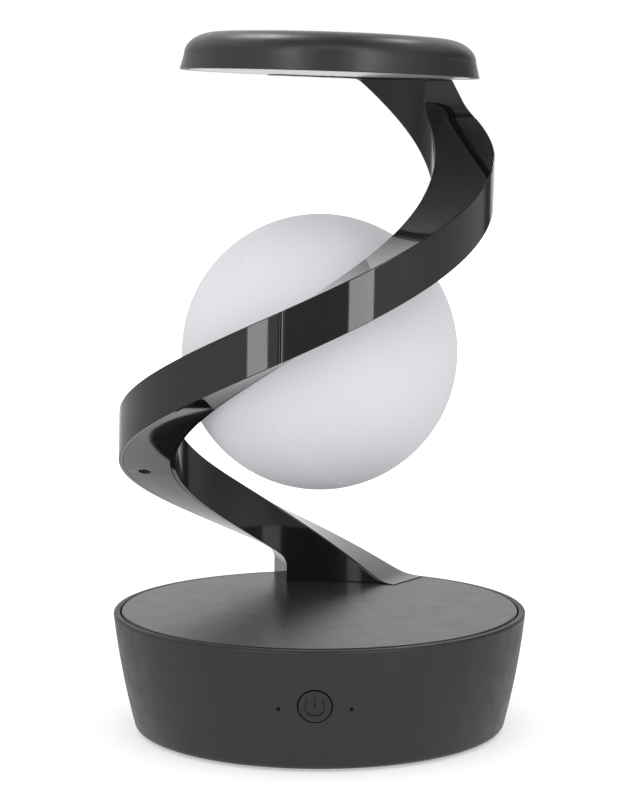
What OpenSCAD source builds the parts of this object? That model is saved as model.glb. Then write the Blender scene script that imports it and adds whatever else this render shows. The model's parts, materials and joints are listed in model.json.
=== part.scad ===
// Desk lamp: a white orb held inside a band arm that climbs around it, on a turntable base, with a round
// charging head on top. Millimetres, +Z up, origin on the floor at the middle of the base, front at -Y.
// Angles around the lamp are in degrees from the front, growing towards +X.

/* [Base] */
// Diameter across the top rim
base_top_d = 140; // [134:1:170]
// Diameter that the wall would reach at its lower edge without the rounding
base_floor_d = 125.3; // [120.3:0.2:132.3]
// How far the wall swells out between its lower edge and the rim
base_bulge = 0.8; // [0:0.1:1.5]
// Height of the rim above the floor
base_h = 40.8; // [40.3:0.5:60.3]
// Thickness of the drum wall
base_wall = 2.5; // [2:0.1:3.2]
// Rounding of the drum's lower edge
base_edge_r = 2.3; // [1:0.1:4]
// Width of the rim around the turntable plate
rim_w = 2.3; // [2:0.1:4]
// Rounding of the rim's outer edge
rim_round = 0.8; // [0.4:0.1:1.4]
// Height of the feet below the bottom cover
foot_h = 0.8; // [0.6:0.1:2]
// Diameter of one foot
foot_d = 12; // [8:0.5:14]
// Distance of the feet from the middle
foot_circle_r = 40; // [30:1:41]
// Thickness of the bottom cover
bottom_cover_t = 2; // [1.6:0.1:2.4]
// Free height between the ballast weight and the main board's screws
ballast_gap = 1.1; // [0.5:0.1:2.5]

/* [Turntable] */
// Thickness of the turntable plate
plate_t = 3; // [2.5:0.1:4]
// Width of the round gap between plate and rim
plate_gap = 0.5; // [0.3:0.1:1]
// Depth of the plate's top below the rim; it stands proud where this is negative
plate_drop = -0.2; // [-0.5:0.1:1]
// Length of the hub under the plate
hub_l = 11.6; // [11.6:0.1:13]
// Outer radius of the hub
hub_r = 12; // [11.6:0.1:14]
// Outer radius of the fixed bearing post inside the hub
post_r = 7.95; // [7.5:0.05:8.2]
// Thickness of the chassis deck
deck_t = 2.4; // [2:0.1:3]

/* [Drive] */
// Tooth size of the gear pair
gear_module = 1.25; // [1.2:0.05:1.3]
// Teeth on the turntable gear
gear_teeth = 42; // [40:1:44]
// Teeth on the motor pinion
pinion_teeth = 14; // [13:1:15]
// Face width of the turntable gear
gear_t = 5; // [4:0.5:5.5]
// Diameter of the motor body
motor_d = 28; // [24:1:28]
// Free height under the motor body
motor_gap = 3.5; // [0.5:0.1:6]
// Diameter of the motor shaft
motor_shaft_d = 5; // [4:0.5:6]

/* [Arm] */
// Height of the band
arm_h = 16.4; // [14:0.2:20]
// Width of the band low on the lamp
arm_w_low = 19.1; // [17:0.1:22]
// Width of the band near the head
arm_w_high = 20.2; // [17:0.1:22]
// Room between the orb's radius and the band's inner side low on the lamp
arm_room = 4.2; // [4:0.1:9]
// How far the band draws in from the orb's radius towards the head
arm_draw = 11.8; // [8:0.1:12]
// Angle where the band's top face runs into the plate
arm_foot_a = -206.6; // [-208.6:0.5:-202.6]
// Angle where the band's underside runs into the head
arm_head_a = 166; // [160:0.5:168]
// How much steeper the band climbs towards its ends
arm_steepen = 0.145; // [0:0.005:0.3]
// Sideways lean of the arm for each millimetre of height
arm_lean = 0.0189; // [0:0.0001:0.022]
// Angle of the seam between lower and upper arm
arm_seam_a = -11.6; // [-13:0.1:-8]
// Side wall of the arm shells
arm_wall = 1.5; // [1.2:0.1:1.8]
// Top wall of the arm shells
arm_roof_t = 2; // [1.6:0.1:2.4]
// Thickness of the covers under the arm
arm_cover_t = 2; // [1.6:0.1:2.4]
// Chamfer along the band's upper edges
arm_edge = 0.6; // [0.2:0.1:1]
// Width of the foot on the plate
foot_w = 19.5; // [17:0.1:20]

/* [Orb] */
// Diameter of the orb
orb_d = 93.4; // [85:0.2:93.6]
// Height of the orb's middle above the plate
orb_rise = 86.9; // [86.1:0.2:87.9]
// Distance of the orb's middle behind the lamp's axis
orb_back = 4.6; // [4:0.1:6]
// Wall of the orb shells
orb_wall = 2; // [1.5:0.1:3]
// Roll of the orb's seam away from upright
orb_seam_roll = -20; // [-30:1:30]
// Diameter of the stud
orb_stud_d = 6; // [5:0.2:6.6]

/* [Head] */
// Reach of the head beyond the inner side of the band
head_reach = 14.9; // [14:0.1:20]
// Height of the head
head_h = 13; // [12.6:0.1:16]
// Height of the head's underside above the plate
head_rise = 180; // [176:0.5:186]
// Tilt of the head, right side down
head_tilt = 1.9; // [0:0.1:2.5]
// Wall of the head cap
head_wall = 2; // [1.6:0.1:2.2]
// Thickness of the diffuser
diffuser_t = 2; // [1.6:0.1:2]
// Gap between the ferrite shield and the charger board
coil_gap = 4; // [2:0.5:8]

/* [Button and inlet] */
// Depth of the button's middle below the rim
button_drop = 18.2; // [17:0.2:19]
// Diameter of the button's hole
button_hole_d = 11.4; // [10:0.2:12]
// Gap around the button
button_gap = 0.45; // [0.25:0.05:0.5]
// How far the button pushes in
button_travel = 0.7; // [0.3:0.1:0.8]
// Distance of each pin hole from the button's middle
pin_hole_x = 11.5; // [10.5:0.1:13]
// Diameter of the pin holes
pin_hole_d = 1.3; // [1:0.1:2]
// Width of the power inlet's opening
inlet_w = 12.6; // [11:0.2:14]
// Height of the power inlet's opening
inlet_h = 7; // [6:0.2:8]

/* [Fits] */
// Clearance between pieces that are fixed together
fit = 0.1; // [0.05:0.01:0.15]
// Running clearance of shafts and bearings on the radius
run_fit = 0.05; // [0.03:0.01:0.08]
// Radius of the small screws' threads
screw_r = 0.95; // [0.8:0.05:1]
// Radius of the small screws' heads
screw_head_r = 1.8; // [1.6:0.1:1.9]
// Backlash between the gear teeth
backlash = 0.3; // [0.2:0.05:0.4]

/* [Hidden] */
$fn = 96;
tube_sides = 8;

// Cut-outs run this far past the faces that they cut
over = 1;
// Small step between two rings of a swept band where its section jumps
jump = 0.02;
// Two shapes of one piece run this far into each other
join = 0.5;
// Pieces fixed on a shaft or hub sit this far off it
press_gap = 0.02;

// Screws
screw_head_h = 1.4;
pilot_r = screw_r + 0.05;
pass_r = screw_r + 0.25;
counterbore_r = screw_head_r + 0.3;
recess_w = 0.5;
recess_l = screw_head_r * 1.2;
recess_depth = 0.7;
board_screw_l = 5;
post_pilot_l = 7;

// Levels and radii of the base
top_r = base_top_d / 2;
floor_r = base_floor_d / 2;
drum_h = base_h - foot_h;
button_z = base_h - button_drop;
taper = wall_lean(button_z);
cover_top = foot_h + bottom_cover_t;
flange_t = 2.5;
flange_top = cover_top + flange_t;
leg_r = 3.6;
leg_margin = 1.2;
edge_z = foot_h + base_edge_r;
edge_x = wall_r(edge_z) - base_edge_r / cos(wall_lean(edge_z));
cover_r = edge_x - 1.6;
leg_circle_r = cover_r - counterbore_r - leg_margin;
flange_in_r = leg_circle_r - leg_r - leg_margin;
foot_sink = 0.8;
foot_chamfer = 0.5;
cover_screw_sink = screw_head_h - 0.1;
cover_screw_l = flange_t + 7;
leg_pilot_l = 8;
seat_chamfer = 0.3;
wall_steps = 14;
ballast_margin = 1;
ballast_r = flange_in_r - ballast_margin;
ballast_hole_r = 9;

// Levels of the turntable and its bearing
plate_z = base_h - plate_drop;
plate_bottom = plate_z - plate_t;
plate_r = top_r - rim_w - plate_gap;
plate_chamfer = 0.4;
ledge_gap = 0.5;
ledge_w = 3.5;
ledge_t = 2;
hub_bottom = plate_bottom - hub_l;
hub_bore_r = post_r + run_fit;
washer_t = 0.6;
washer_gap = 0.1;
deck_top = hub_bottom - washer_gap - washer_t;
deck_bottom = deck_top - deck_t;
deck_r = wall_in(deck_bottom) - 4;
retainer_t = 1;
retainer_r = post_r + 2;
retainer_z = plate_bottom - 4.5;
nose_r = post_r - 0.8;
post_bore_r = post_r - 1.95;
post_flange_r = post_r + 6;
post_flange_t = 2;
post_top = retainer_z + retainer_t;
hub_room_r = retainer_r + 0.4;
hub_step_z = retainer_z - 0.3;
post_screw_r = post_r + 3.3;

// Slip ring in the post
slip_room = 2.15;
slip_r = post_bore_r - fit;
slip_z1 = retainer_z - 1;
rotor_r = slip_r - 2.2;
rotor_z0 = slip_z1 + 0.3;
rotor_z1 = plate_bottom - 2.6;

// Gear pair
pressure_a = 25;
gear_r = gear_module * gear_teeth / 2;
pinion_r = gear_module * pinion_teeth / 2;
gear_centre = gear_r + pinion_r;
gear_z0 = hub_bottom + 0.5;
pinion_z0 = gear_z0 - 0.2;
pinion_t = gear_t + 0.4;
shaft_r = motor_shaft_d / 2;
motor_offset = 8;
motor_x = gear_centre + motor_offset;
motor_boss_r = 4.5;
motor_boss_h = 1.5;
motor_ear_x = 17.5;
motor_ear_r = 3.5;
motor_ear_t = 0.8;
motor_h = deck_bottom - cover_top - motor_gap;
shaft_sink = motor_h / 2;
shaft_end_gap = 0.3;
root_share = 1.3;
tip_share = 0.95;

// Main board and inlet
board_t = 1.6;
standoff_r = 2.6;
board_room = 3.6;
board_bottom = flange_top + screw_head_h + board_room;
board_top = board_bottom + board_t;
standoff_l = deck_bottom - board_top;
ballast_h = board_bottom - screw_head_h - ballast_gap - cover_top;
board_w = 32;
board_l = 34;
socket_w = 9;
socket_h = 3.3;
socket_l = 7.4;
socket_skin = 0.35;
socket_overhang = 4;
socket_z = board_top + socket_h / 2;
socket_y = wall_in(socket_z) - 0.5;
board_y1 = socket_y - socket_overhang;
board_y0 = board_y1 - board_l;
board_hole_x = board_w / 2 - 3;
board_hole_y = [board_y0 + 3, board_y1 - 3.5];
tongue_w = 6.6;
tongue_t = 0.7;
tongue_set_back = 1;
// Chips on the board: x, distance from the front edge, width, length, height
board_chips = [
    [-10, 9, 7, 7, 3],
    [4, 8, 6, 6, 1.2],
    [-8, 20, 5, 4, 1],
    [6, 19, 8, 4, 4],
    [-8, 27, 5, 3, 1.5]
];

// Button group, in the frame of the button's own axis (outwards is +Z)
button_r = button_hole_d / 2 - button_gap;
button_proud = 0.1;
collar_r = button_hole_d / 2 + 1.9;
collar_z = -7;
button_flange_r = button_hole_d / 2 + 0.9;
button_flange_t = 1.1;
button_flange_z = collar_z - 0.3 - button_flange_t;
stem_r = 2;
stem_z = button_flange_z - 2.8;
plunger_r = 1.75;
plunger_in = 1;
stem_rest = 0.1;
plunger_l = plunger_in + button_travel + stem_rest;
switch_z1 = stem_z - button_travel - stem_rest;
switch_floor = 0.5;
switch_t = 3;
switch_w = 6;
button_board_z = switch_z1 - switch_t;
button_board_w = 44;
button_board_h = 12;
deck_notch_w = button_board_w + 8;
deck_notch_y = 40;
button_post_x = 18;
button_post_r = 3;
post_wall_z = -pow(button_post_x, 2) / (2 * wall_r(button_z)) - base_wall + 2 * join;
pin_y = -1.3;
pipe_r = pin_hole_d / 2 - 0.05;
pipe_collar_r = pipe_r + 0.9;
pipe_recess = 0.12;
pipe_collar_t = 1;
pipe_collar_gap = 0.8;
led_t = 1.2;
led_w = 1.6;
pipe_led_gap = 0.4;
pin_wall_z = -pow(pin_hole_x, 2) / (2 * wall_r(button_z));
symbol_r = 3.05;
symbol_w = 0.55;
symbol_depth = 0.5;
symbol_open = 92;
symbol_bar_y = -0.2;
symbol_bar_l = symbol_r + 0.3;

// Band arm: heights follow one cubic in the angle, between the foot and the head
orb_r = orb_d / 2;
arm_r_low = orb_r + arm_room;
arm_r_high = orb_r - arm_draw;
head_r = arm_r_high + head_reach;
arm_mid_a = 18;
arm_narrow_from = -129.7;
arm_narrow_span = 246.7;
arm_tuck_from = -125.2;
arm_tuck_span = 60.5;
head_tuck_from = 76;
head_tuck_span = 80;
foot_wall_a = -164.6;
foot_fillet = 3;
foot_ease = 1;
foot_end_a = arm_foot_a - 6;
foot_out_r = plate_r - 0.2;
foot_in_r = foot_out_r - foot_w;
head_wall_a = 112.4;
head_fillet = 4;
head_ease = 0.55;
head_flange = 0.35;
head_tail_a = 44;
head_end_a = arm_head_a + head_tail_a;
head_pad_r = head_r - 5.3;
head_tuck_r = head_pad_r + 2.3;
head_pad_drop = 17.7;
seat_gap = 0.05;
roof_relief = 0.05;
edge_share = 0.3;
inner_edge = 0.3;
cover_fit = 0.1;
seam_gap_a = 0.06;
upper_cover_end_a = arm_head_a - 9;
sleeve_a = 7;
sleeve_t = 1.2;
head_z = plate_z + head_rise;
head_x = arm_lean * head_rise;
arm_climb = (head_rise + arm_h - arm_steepen * (pow(psi(arm_head_a), 3) - pow(psi(arm_foot_a), 3)))
    / (psi(arm_head_a) - psi(arm_foot_a));
head_pad_slope = (arm_r_high + arm_w_high - head_pad_r) / head_pad_drop;

// Screws and leads of the arm
lower_screw_a = -98;
lower_screw_out = 1.85;
upper_screw_a = 100;
pillar_r = 3.2;
pillar_z0 = 2;
pillar_z1 = 5;
screw_seat = 3;
arm_boss_r = 2.1;
arm_boss_drop = 1.6;
arm_screw_l = 6;
foot_screw_a = [-171, -184];
foot_boss_r = 3;
foot_boss_gap = 0.4;
foot_boss_drop = 2.8;
foot_screw_l = 7;
lead_r = 1.2;
lead_hole_r = lead_r + 0.5;
lead_end_gap = 0.05;
lead_inset = 4.2;
foot_lead_a = -178;
foot_lead_hole_r = 2;
lead_swap_from = 20;
lead_swap_span = 60;
lead_end_a = 130;
lead_climb_a = 12;
lead_under = 8;
head_lead_r = arm_r_high + 4.3;
turntable_lead_z = plate_bottom - lead_r - 0.3;
lead_lane_x = 20;
lead_pad_x = 7;
lead_z = board_top + lead_r + lead_end_gap;
slip_z0 = lead_z + slip_room;

// Orb and its stud
mount_search_a = 60;
search_rounds = 24;
orb_z = plate_z + orb_rise;
stud_r = orb_stud_d / 2;
stud_bore_r = stud_r - 1.4;
stud_flange_r = stud_r + 5;
stud_flange_t = 2;
stud_seat = 2.2;
nut_r = stud_r + 1.6;
nut_t = 2;
nut_gap = 0.5;
orb_lip_t = 1.2;
orb_lip_h = 2;
orb_lip_gap = 0.3;
orb_board_r = 14;
orb_led_count = 8;
orb_led_ring_r = 9.5;
orb_led_w = 3;
orb_led_t = 1;
orb_lead_out = 2.4;
orb_mount_a = angle_at(orb_z, arm_seam_a - mount_search_a, arm_seam_a, search_rounds);
stud_foot = place(arm_in(orb_mount_a), orb_mount_a, orb_z) - [0, orb_back, orb_z];
orb_stud_a = atan2(stud_foot.x, -stud_foot.y);
stud_wall = norm(stud_foot);
stud_end = stud_wall + arm_wall + nut_gap + nut_t;
flange_inner = orb_r - orb_wall - stud_seat - stud_flange_t;

// Head, in its own frame (underside at z = 0)
head_side_h = 5.2;
head_side_in = 1.3;
head_round_w = 11.2;
head_crown = 0.4;
head_flat_margin = 19.4;
head_flat_r = head_r - head_flat_margin;
head_round_h = head_h - head_side_h - head_crown;
diffuser_z = 0.02;
diffuser_r = head_r - head_wall - 0.9;
led_board_z = 4.4;
led_board_t = 1.2;
frame_z = led_board_z + led_board_t;
frame_t = 1.6;
frame_top = frame_z + frame_t;
frame_r = head_r - head_wall - head_side_in - 1.2;
frame_screw_r = frame_r - 8.1;
frame_screw_a = [20, 75, 200, 310];
cap_boss_r = 2.4;
cap_boss_top = head_h - head_wall + join / 2;
cap_pilot_l = 3.2;
head_led_count = 24;
head_led_ring_r = frame_screw_r - 5.5;
head_led_w = 2.8;
led_board_in_r = head_led_ring_r - 8;
head_led_t = 0.8;
head_screw_a = [120, 146];
head_screw_r = arm_r_high + 4.7;
head_boss_r = 2.8;
head_screw_l = 6.5;
charger_w = 12;
charger_l = 26;
charger_edge = 5.6;
charger_x = charger_edge + charger_w / 2 - frame_r;
ferrite_t = 0.8;
ferrite_lip = 2;
ferrite_r = frame_r - charger_edge - charger_w - coil_gap;
coil_t = 1;
coil_r = ferrite_r - ferrite_lip;
coil_w = 12;
coil_in_r = coil_r - coil_w;
charger_t = 1;
charger_chip = 5;
charger_chip_t = 1;

// Formulas

function mix(p, q, t) = p + (q - p) * t;
function smooth(t) = let (u = min(1, max(0, t))) u * u * (3 - 2 * u);
function soft(d, ease) = (d + sqrt(d * d + 4 * ease * ease)) / 2;
function span(from, to, count) = [for (i = [0 : count]) mix(from, to, i / count)];
function arc(x, z, r, from, to, count) = [for (a = span(from, to, count)) [x + r * cos(a), z + r * sin(a)]];
function polar(r, a, z = 0) = [r * sin(a), -r * cos(a), z];
function unit(v) = v / norm(v);
function back_to_front(list) = [for (i = [len(list) - 1 : -1 : 0]) list[i]];

// A point of the button's own frame in the lamp's frame
function button_point(p) = [
    p.x,
    -wall_r(button_z) - p.z * cos(taper) - p.y * sin(taper),
    button_z - p.z * sin(taper) + p.y * cos(taper)
];

// Share of the drum's height, outer radius, lean and inner radius of its wall at a height
function wall_t(z) = (z - foot_h) / drum_h;
function wall_r(z) = mix(floor_r, top_r, wall_t(z)) + 4 * base_bulge * wall_t(z) * (1 - wall_t(z));
function wall_lean(z) = atan((top_r - floor_r + 4 * base_bulge * (1 - 2 * wall_t(z))) / drum_h);
function wall_in(z) = wall_r(z) - base_wall / cos(wall_lean(z));

// Band arm: angle in radians from its middle, heights of its faces, radii of its sides
function psi(a) = (a - arm_mid_a) * PI / 180;
function arm_top(a) = plate_z + arm_climb * (psi(a) - psi(arm_foot_a))
    + arm_steepen * (pow(psi(a), 3) - pow(psi(arm_foot_a), 3));
function arm_bot(a) = arm_top(a) - arm_h;
// Angle where the middle of the band passes a height
function angle_at(z, from, to, rounds) = let (a = (from + to) / 2) rounds < 1 ? a
    : arm_top(a) - arm_h / 2 < z ? angle_at(z, a, to, rounds - 1) : angle_at(z, from, a, rounds - 1);
function arm_narrow(a) = smooth((a - arm_narrow_from) / arm_narrow_span);
function arm_tuck(a) = smooth((arm_tuck_from - a) / arm_tuck_span);
function arm_in(a) = mix(mix(arm_r_low, arm_r_high, arm_narrow(a)), foot_in_r, arm_tuck(a));
function arm_free_out(a) = mix(arm_r_low + arm_w_low, arm_r_high + arm_w_high, arm_narrow(a));
function head_tuck(a) = smooth((a - head_tuck_from) / head_tuck_span);
function arm_out(a) = mix(mix(arm_free_out(a), foot_out_r, arm_tuck(a)), head_tuck_r, head_tuck(a));
function arm_mid(a) = (arm_in(a) + arm_out(a)) / 2;
function arc_len(from, to) = (to - from) * PI / 180 * arm_mid(to);
function foot_screw_r(a) = arm_in(a) + arm_wall + foot_boss_r + foot_boss_gap;
function place(r, a, z) = [r * sin(a) + arm_lean * (z - plate_z), -r * cos(a), z];

// Height of the head's underside above a point of the arm
function head_level(r, a) = head_z - r * sin(a) * tan(head_tilt);

// A quarter-round fillet of radius r, at a distance s from the wall that it runs into
function fillet(s, r) = s < r ? r - sqrt(max(0, r * r - pow(r - max(0, s), 2))) : 0;

// Lower and upper outline of the band, with the foot, the head pad and their end walls
function arm_low(r, a) = a < foot_wall_a ? plate_z
    : let (level = head_level(r, a))
      level - head_flange
      - soft(level - head_flange - arm_bot(a) + fillet(arc_len(foot_wall_a, a), foot_fillet), head_ease);
function arm_rise(a) = plate_z + soft(arm_top(a) - plate_z, foot_ease);
function arm_high(r, a) = a > head_wall_a ? head_level(r, a) - seat_gap
    : arm_rise(a) + fillet(arc_len(a, head_wall_a), head_fillet);

// Outer side of the band: it leans in under the head
function pad_out(a, z) = head_pad_r + max(0, head_level(arm_out(a), a) - z) * head_pad_slope;
function out_at(a, z) = min(arm_out(a), pad_out(a, z));
function shoulder(a) = head_level(arm_out(a), a) - (arm_out(a) - head_pad_r) / head_pad_slope;

// Ceiling of the hollow inside the band
roof_lag = arm_roof_t / (arm_r_high + arm_w_high / 2) * 180 / PI;
function roof_open(a) = a < upper_cover_end_a + 0.3;
function arm_roof(r, a) = let (high = a > head_wall_a + roof_lag ? arm_high(r, a) : arm_rise(a))
    roof_open(a) ? max(arm_low(r, a) + roof_relief, high - arm_roof_t) : arm_low(r, a) + roof_relief;

// Section of an arm shell: an upside-down channel, outer path first and then the inner path back
function shell_outer(a) = let (
        ri = arm_in(a),
        ro = arm_out(a),
        low = arm_low(ri, a),
        low_r = out_at(a, arm_low(ro, a)),
        low_o = arm_low(low_r, a),
        high = arm_high(ri, a),
        high_r = out_at(a, arm_high(ro, a)),
        high_o = arm_high(high_r, a),
        edge = min(arm_edge, (high - low) * edge_share),
        mid_z = min(max(shoulder(a), low_o + edge / 2), high_o - edge * 1.5)
    ) [
        place(ri, a, low),
        place(ri, a, high - edge),
        place(ri + edge, a, high),
        place(high_r - edge, a, high_o),
        place(out_at(a, high_o - edge), a, high_o - edge),
        place(out_at(a, mid_z), a, mid_z),
        place(low_r, a, low_o)
    ];
function shell_inner(a) = let (
        ri = arm_in(a) + arm_wall,
        low = arm_low(ri, a),
        low_r = out_at(a, arm_low(arm_out(a), a)) - arm_wall,
        low_o = arm_low(low_r, a),
        roof = arm_roof(ri, a),
        roof_r = out_at(a, arm_roof(arm_out(a), a)) - arm_wall,
        roof_o = arm_roof(roof_r, a),
        edge = min(inner_edge, (roof - low) * edge_share),
        mid_z = min(max(shoulder(a), low_o + edge / 2), roof_o - edge * 1.5)
    ) [
        place(ri, a, low),
        place(ri, a, roof - edge),
        place(ri + edge, a, roof),
        place(roof_r - edge, a, roof_o),
        place(out_at(a, roof_o - edge) - arm_wall, a, roof_o - edge),
        place(out_at(a, mid_z) - arm_wall, a, mid_z),
        place(low_r, a, low_o)
    ];
function shell_ring(a) = concat(shell_outer(a), back_to_front(shell_inner(a)));

// Section of a cover: it fills the channel's mouth
cover_side = arm_wall + cover_fit;
function cover_ring(a) = let (
        ri = arm_in(a) + cover_side,
        ro = out_at(a, arm_low(arm_out(a), a)) - cover_side,
        top = max(arm_bot(a), plate_z) + arm_cover_t,
        top_r = out_at(a, top) - cover_side
    ) [
        place(ri, a, arm_low(ri, a)),
        place(ri, a, top),
        place(top_r, a, top),
        place(ro, a, arm_low(ro, a))
    ];

// Section of the sleeve that joins the two arm shells
function sleeve_path(a, inset) = let (
        ri = arm_in(a) + arm_wall + inset,
        ro = arm_out(a) - arm_wall - inset,
        low = arm_bot(a) + arm_cover_t + 2 * cover_fit,
        high = arm_top(a) - arm_roof_t - inset
    ) [
        place(ri, a, low),
        place(ri, a, high),
        place(ro, a, high),
        place(ro, a, low)
    ];
function sleeve_ring(a) = concat(sleeve_path(a, fit * 2), back_to_front(sleeve_path(a, fit * 2 + sleeve_t)));

// Angles of the rings along each arm piece
foot_fillet_a = foot_fillet / arm_mid(foot_wall_a) * 180 / PI;
head_fillet_a = head_fillet / arm_mid(head_wall_a) * 180 / PI;
fillet_steps = [0, 0.03, 0.12, 0.3, 0.6, 1];
lower_angles = concat(
    span(foot_end_a, foot_wall_a - jump, 14),
    [for (t = fillet_steps) foot_wall_a + jump + t * foot_fillet_a],
    span(foot_wall_a + foot_fillet_a + 2, arm_seam_a - seam_gap_a, 46)
);
upper_angles = concat(
    span(arm_seam_a + seam_gap_a, head_wall_a - head_fillet_a - 2, 36),
    [for (t = back_to_front(fillet_steps)) head_wall_a - jump - t * head_fillet_a],
    [head_wall_a + jump, head_wall_a + roof_lag - jump, head_wall_a + roof_lag + jump],
    span(head_wall_a + roof_lag + 2, upper_cover_end_a + 0.2, 12),
    span(upper_cover_end_a + 0.2 + 2 * jump + 0.1, head_end_a, 14)
);
end_wall_a = arm_wall / arm_mid(foot_wall_a) * 180 / PI;
lower_cover_angles = concat(
    [foot_wall_a - end_wall_a, foot_wall_a - jump],
    [for (t = fillet_steps) foot_wall_a + jump + t * foot_fillet_a],
    span(foot_wall_a + foot_fillet_a + 2, arm_seam_a - seam_gap_a, 46)
);
upper_cover_angles = span(arm_seam_a + seam_gap_a, upper_cover_end_a, 50);

// Route of the arm lead: up out of the plate, along the channel, then up into the head
function lead_side(a) = mix(arm_out(a) - lead_inset, arm_in(a) + lead_inset,
    smooth((a - lead_swap_from) / lead_swap_span));
function lead_height(a) = (arm_bot(a) + arm_cover_t + arm_top(a) - arm_roof_t) / 2;
foot_lead_r = foot_out_r - arm_wall - 3.6;
lead_rise_a = foot_lead_a + lead_climb_a;
lead_path = concat(
    [for (z = [plate_bottom - 0.3, plate_z + 1]) place(foot_lead_r, foot_lead_a, z)],
    [for (a = span(lead_rise_a, lead_end_a - lead_climb_a, 66)) place(lead_side(a), a, lead_height(a))],
    [place(head_lead_r, lead_end_a - lead_climb_a / 4, head_z - lead_under)],
    [for (z = [head_z - lead_under / 2, head_z + frame_top + lead_r / 2]) place(head_lead_r, lead_end_a, z)]
);

// Rings of a round tube along a path; ref is a direction that the path never follows
function tangent(path, i) = unit(path[min(i + 1, len(path) - 1)] - path[max(i - 1, 0)]);
function tube_ring(p, t, ref, r, sides) = let (u = unit(cross(ref, t)), v = cross(t, u))
    [for (i = [0 : sides - 1]) p + r * (cos(360 * i / sides) * u + sin(360 * i / sides) * v)];
function side_ref(p) = unit([p.x, p.y, 0]);

// Involute gear outline
function involute(a) = (tan(a) - a * PI / 180) * 180 / PI;
function tooth_half(r, teeth, pitch_r) = let (base_r = pitch_r * cos(pressure_a))
    90 / teeth - backlash / 4 / pitch_r * 180 / PI
        + involute(pressure_a) - involute(acos(min(1, base_r / r)));
function gear_points(teeth) = let (
        pitch_r = gear_module * teeth / 2,
        base_r = pitch_r * cos(pressure_a),
        root_r = pitch_r - root_share * gear_module,
        tip_r = pitch_r + tip_share * gear_module,
        radii = concat([root_r], span(max(base_r, root_r + 0.1), tip_r, 5))
    ) [for (i = [0 : teeth - 1]) each concat(
        [for (r = radii) let (a = 360 * i / teeth - tooth_half(max(r, base_r), teeth, pitch_r))
            r * [cos(a), sin(a)]],
        [for (r = back_to_front(radii)) let (a = 360 * i / teeth + tooth_half(max(r, base_r), teeth, pitch_r))
            r * [cos(a), sin(a)]]
    )];

// Shapes that repeat

// A solid swept through rings of equal length; strips = true closes a two-path section strip by strip
module sweep(rings, strips = false) {
    n = len(rings[0]);
    last = len(rings) - 1;
    sides = [for (k = [0 : last - 1]) for (i = [0 : n - 1]) let (j = (i + 1) % n) each [
        [k * n + i, (k + 1) * n + i, (k + 1) * n + j],
        [k * n + i, (k + 1) * n + j, k * n + j]
    ]];
    half = n / 2;
    caps = strips
        ? [for (i = [0 : half - 2]) each [
            [i, i + 1, n - 2 - i],
            [i, n - 2 - i, n - 1 - i],
            [last * n + i, last * n + n - 2 - i, last * n + i + 1],
            [last * n + i, last * n + n - 1 - i, last * n + n - 2 - i]
        ]]
        : [[for (i = [0 : n - 1]) i], [for (i = [n - 1 : -1 : 0]) last * n + i]];
    polyhedron(points = [for (ring = rings) each ring], faces = concat(sides, caps));
}

module tube(path, r, ref) {
    sweep([for (i = [0 : len(path) - 1]) tube_ring(path[i], tangent(path, i), ref, r, tube_sides)]);
}

// A screw that points up: its head's bearing face at z = 0, a cross recess in the head
module screw(length) {
    difference() {
        union() {
            translate([0, 0, -screw_head_h]) cylinder(r = screw_head_r, h = screw_head_h);
            cylinder(r = screw_r, h = length);
        }
        for (turn = [0, 90])
            rotate(turn) translate([-recess_l / 2, -recess_w / 2, -screw_head_h - over])
                cube([recess_l, recess_w, over + recess_depth]);
    }
}

module ring(r_out, r_in, h) {
    difference() {
        cylinder(r = r_out, h = h);
        translate([0, 0, -over]) cylinder(r = r_in, h = h + 2 * over);
    }
}

// A bar with round ends, along X, standing on z = 0
module slot_bar(w, h, depth) {
    for (x = [-1, 1]) translate([x * (w - h) / 2, 0, 0]) cylinder(d = h, h = depth);
    translate([-(w - h) / 2, -h / 2, 0]) cube([w - h, h, depth]);
}

module at_legs() {
    for (i = [0 : 3]) rotate(45 + 90 * i) translate([leg_circle_r, 0, 0]) children();
}

module at_feet() {
    for (i = [0 : 3]) rotate(90 * i) translate([foot_circle_r, 0, 0]) children();
}

module at_board_holes() {
    for (x = [-1, 1]) for (y = board_hole_y) translate([x * board_hole_x, y, 0]) children();
}

module at_motor_ears() {
    for (y = [-1, 1]) translate([motor_x, y * motor_ear_x, 0]) children();
}

module at_post_screws() {
    for (i = [0 : 2]) rotate(30 + 120 * i) translate([post_screw_r, 0, 0]) children();
}

module at_button() {
    translate([0, -wall_r(button_z), button_z]) rotate([90 + taper, 0, 0]) children();
}

module at_pins() {
    for (x = [-1, 1]) translate([x * pin_hole_x, pin_y, 0]) children();
}

module at_button_posts() {
    for (x = [-1, 1]) translate([x * button_post_x, 0, 0]) children();
}

module at_inlet() {
    translate([0, socket_y, socket_z]) rotate([-90, 0, 0]) children();
}

module at_head() {
    translate([head_x, 0, head_z]) rotate([0, head_tilt, 0]) children();
}

module at_head_screws() {
    for (a = head_screw_a) translate(polar(head_screw_r, a)) children();
}

module at_frame_screws() {
    for (a = frame_screw_a) translate(polar(frame_screw_r, a)) children();
}

// The orb's own frame: its middle, with X along the stud and Z across its seam
module at_orb() {
    translate([0, orb_back, orb_z]) rotate(orb_stud_a - 90) rotate([90 - orb_seam_roll, 0, 0]) children();
}

// A frame on the stud's axis: +Z runs from the orb's middle out to the arm
module at_stud() {
    translate([0, orb_back, orb_z]) rotate(orb_stud_a - 90) rotate([0, 90, 0]) children();
}

module at_arm(a, z) {
    out = a == lower_screw_a ? lower_screw_out : 0;
    p = place(arm_mid(a) + out, a, z);
    translate(p) children();
}

// Base

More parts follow.
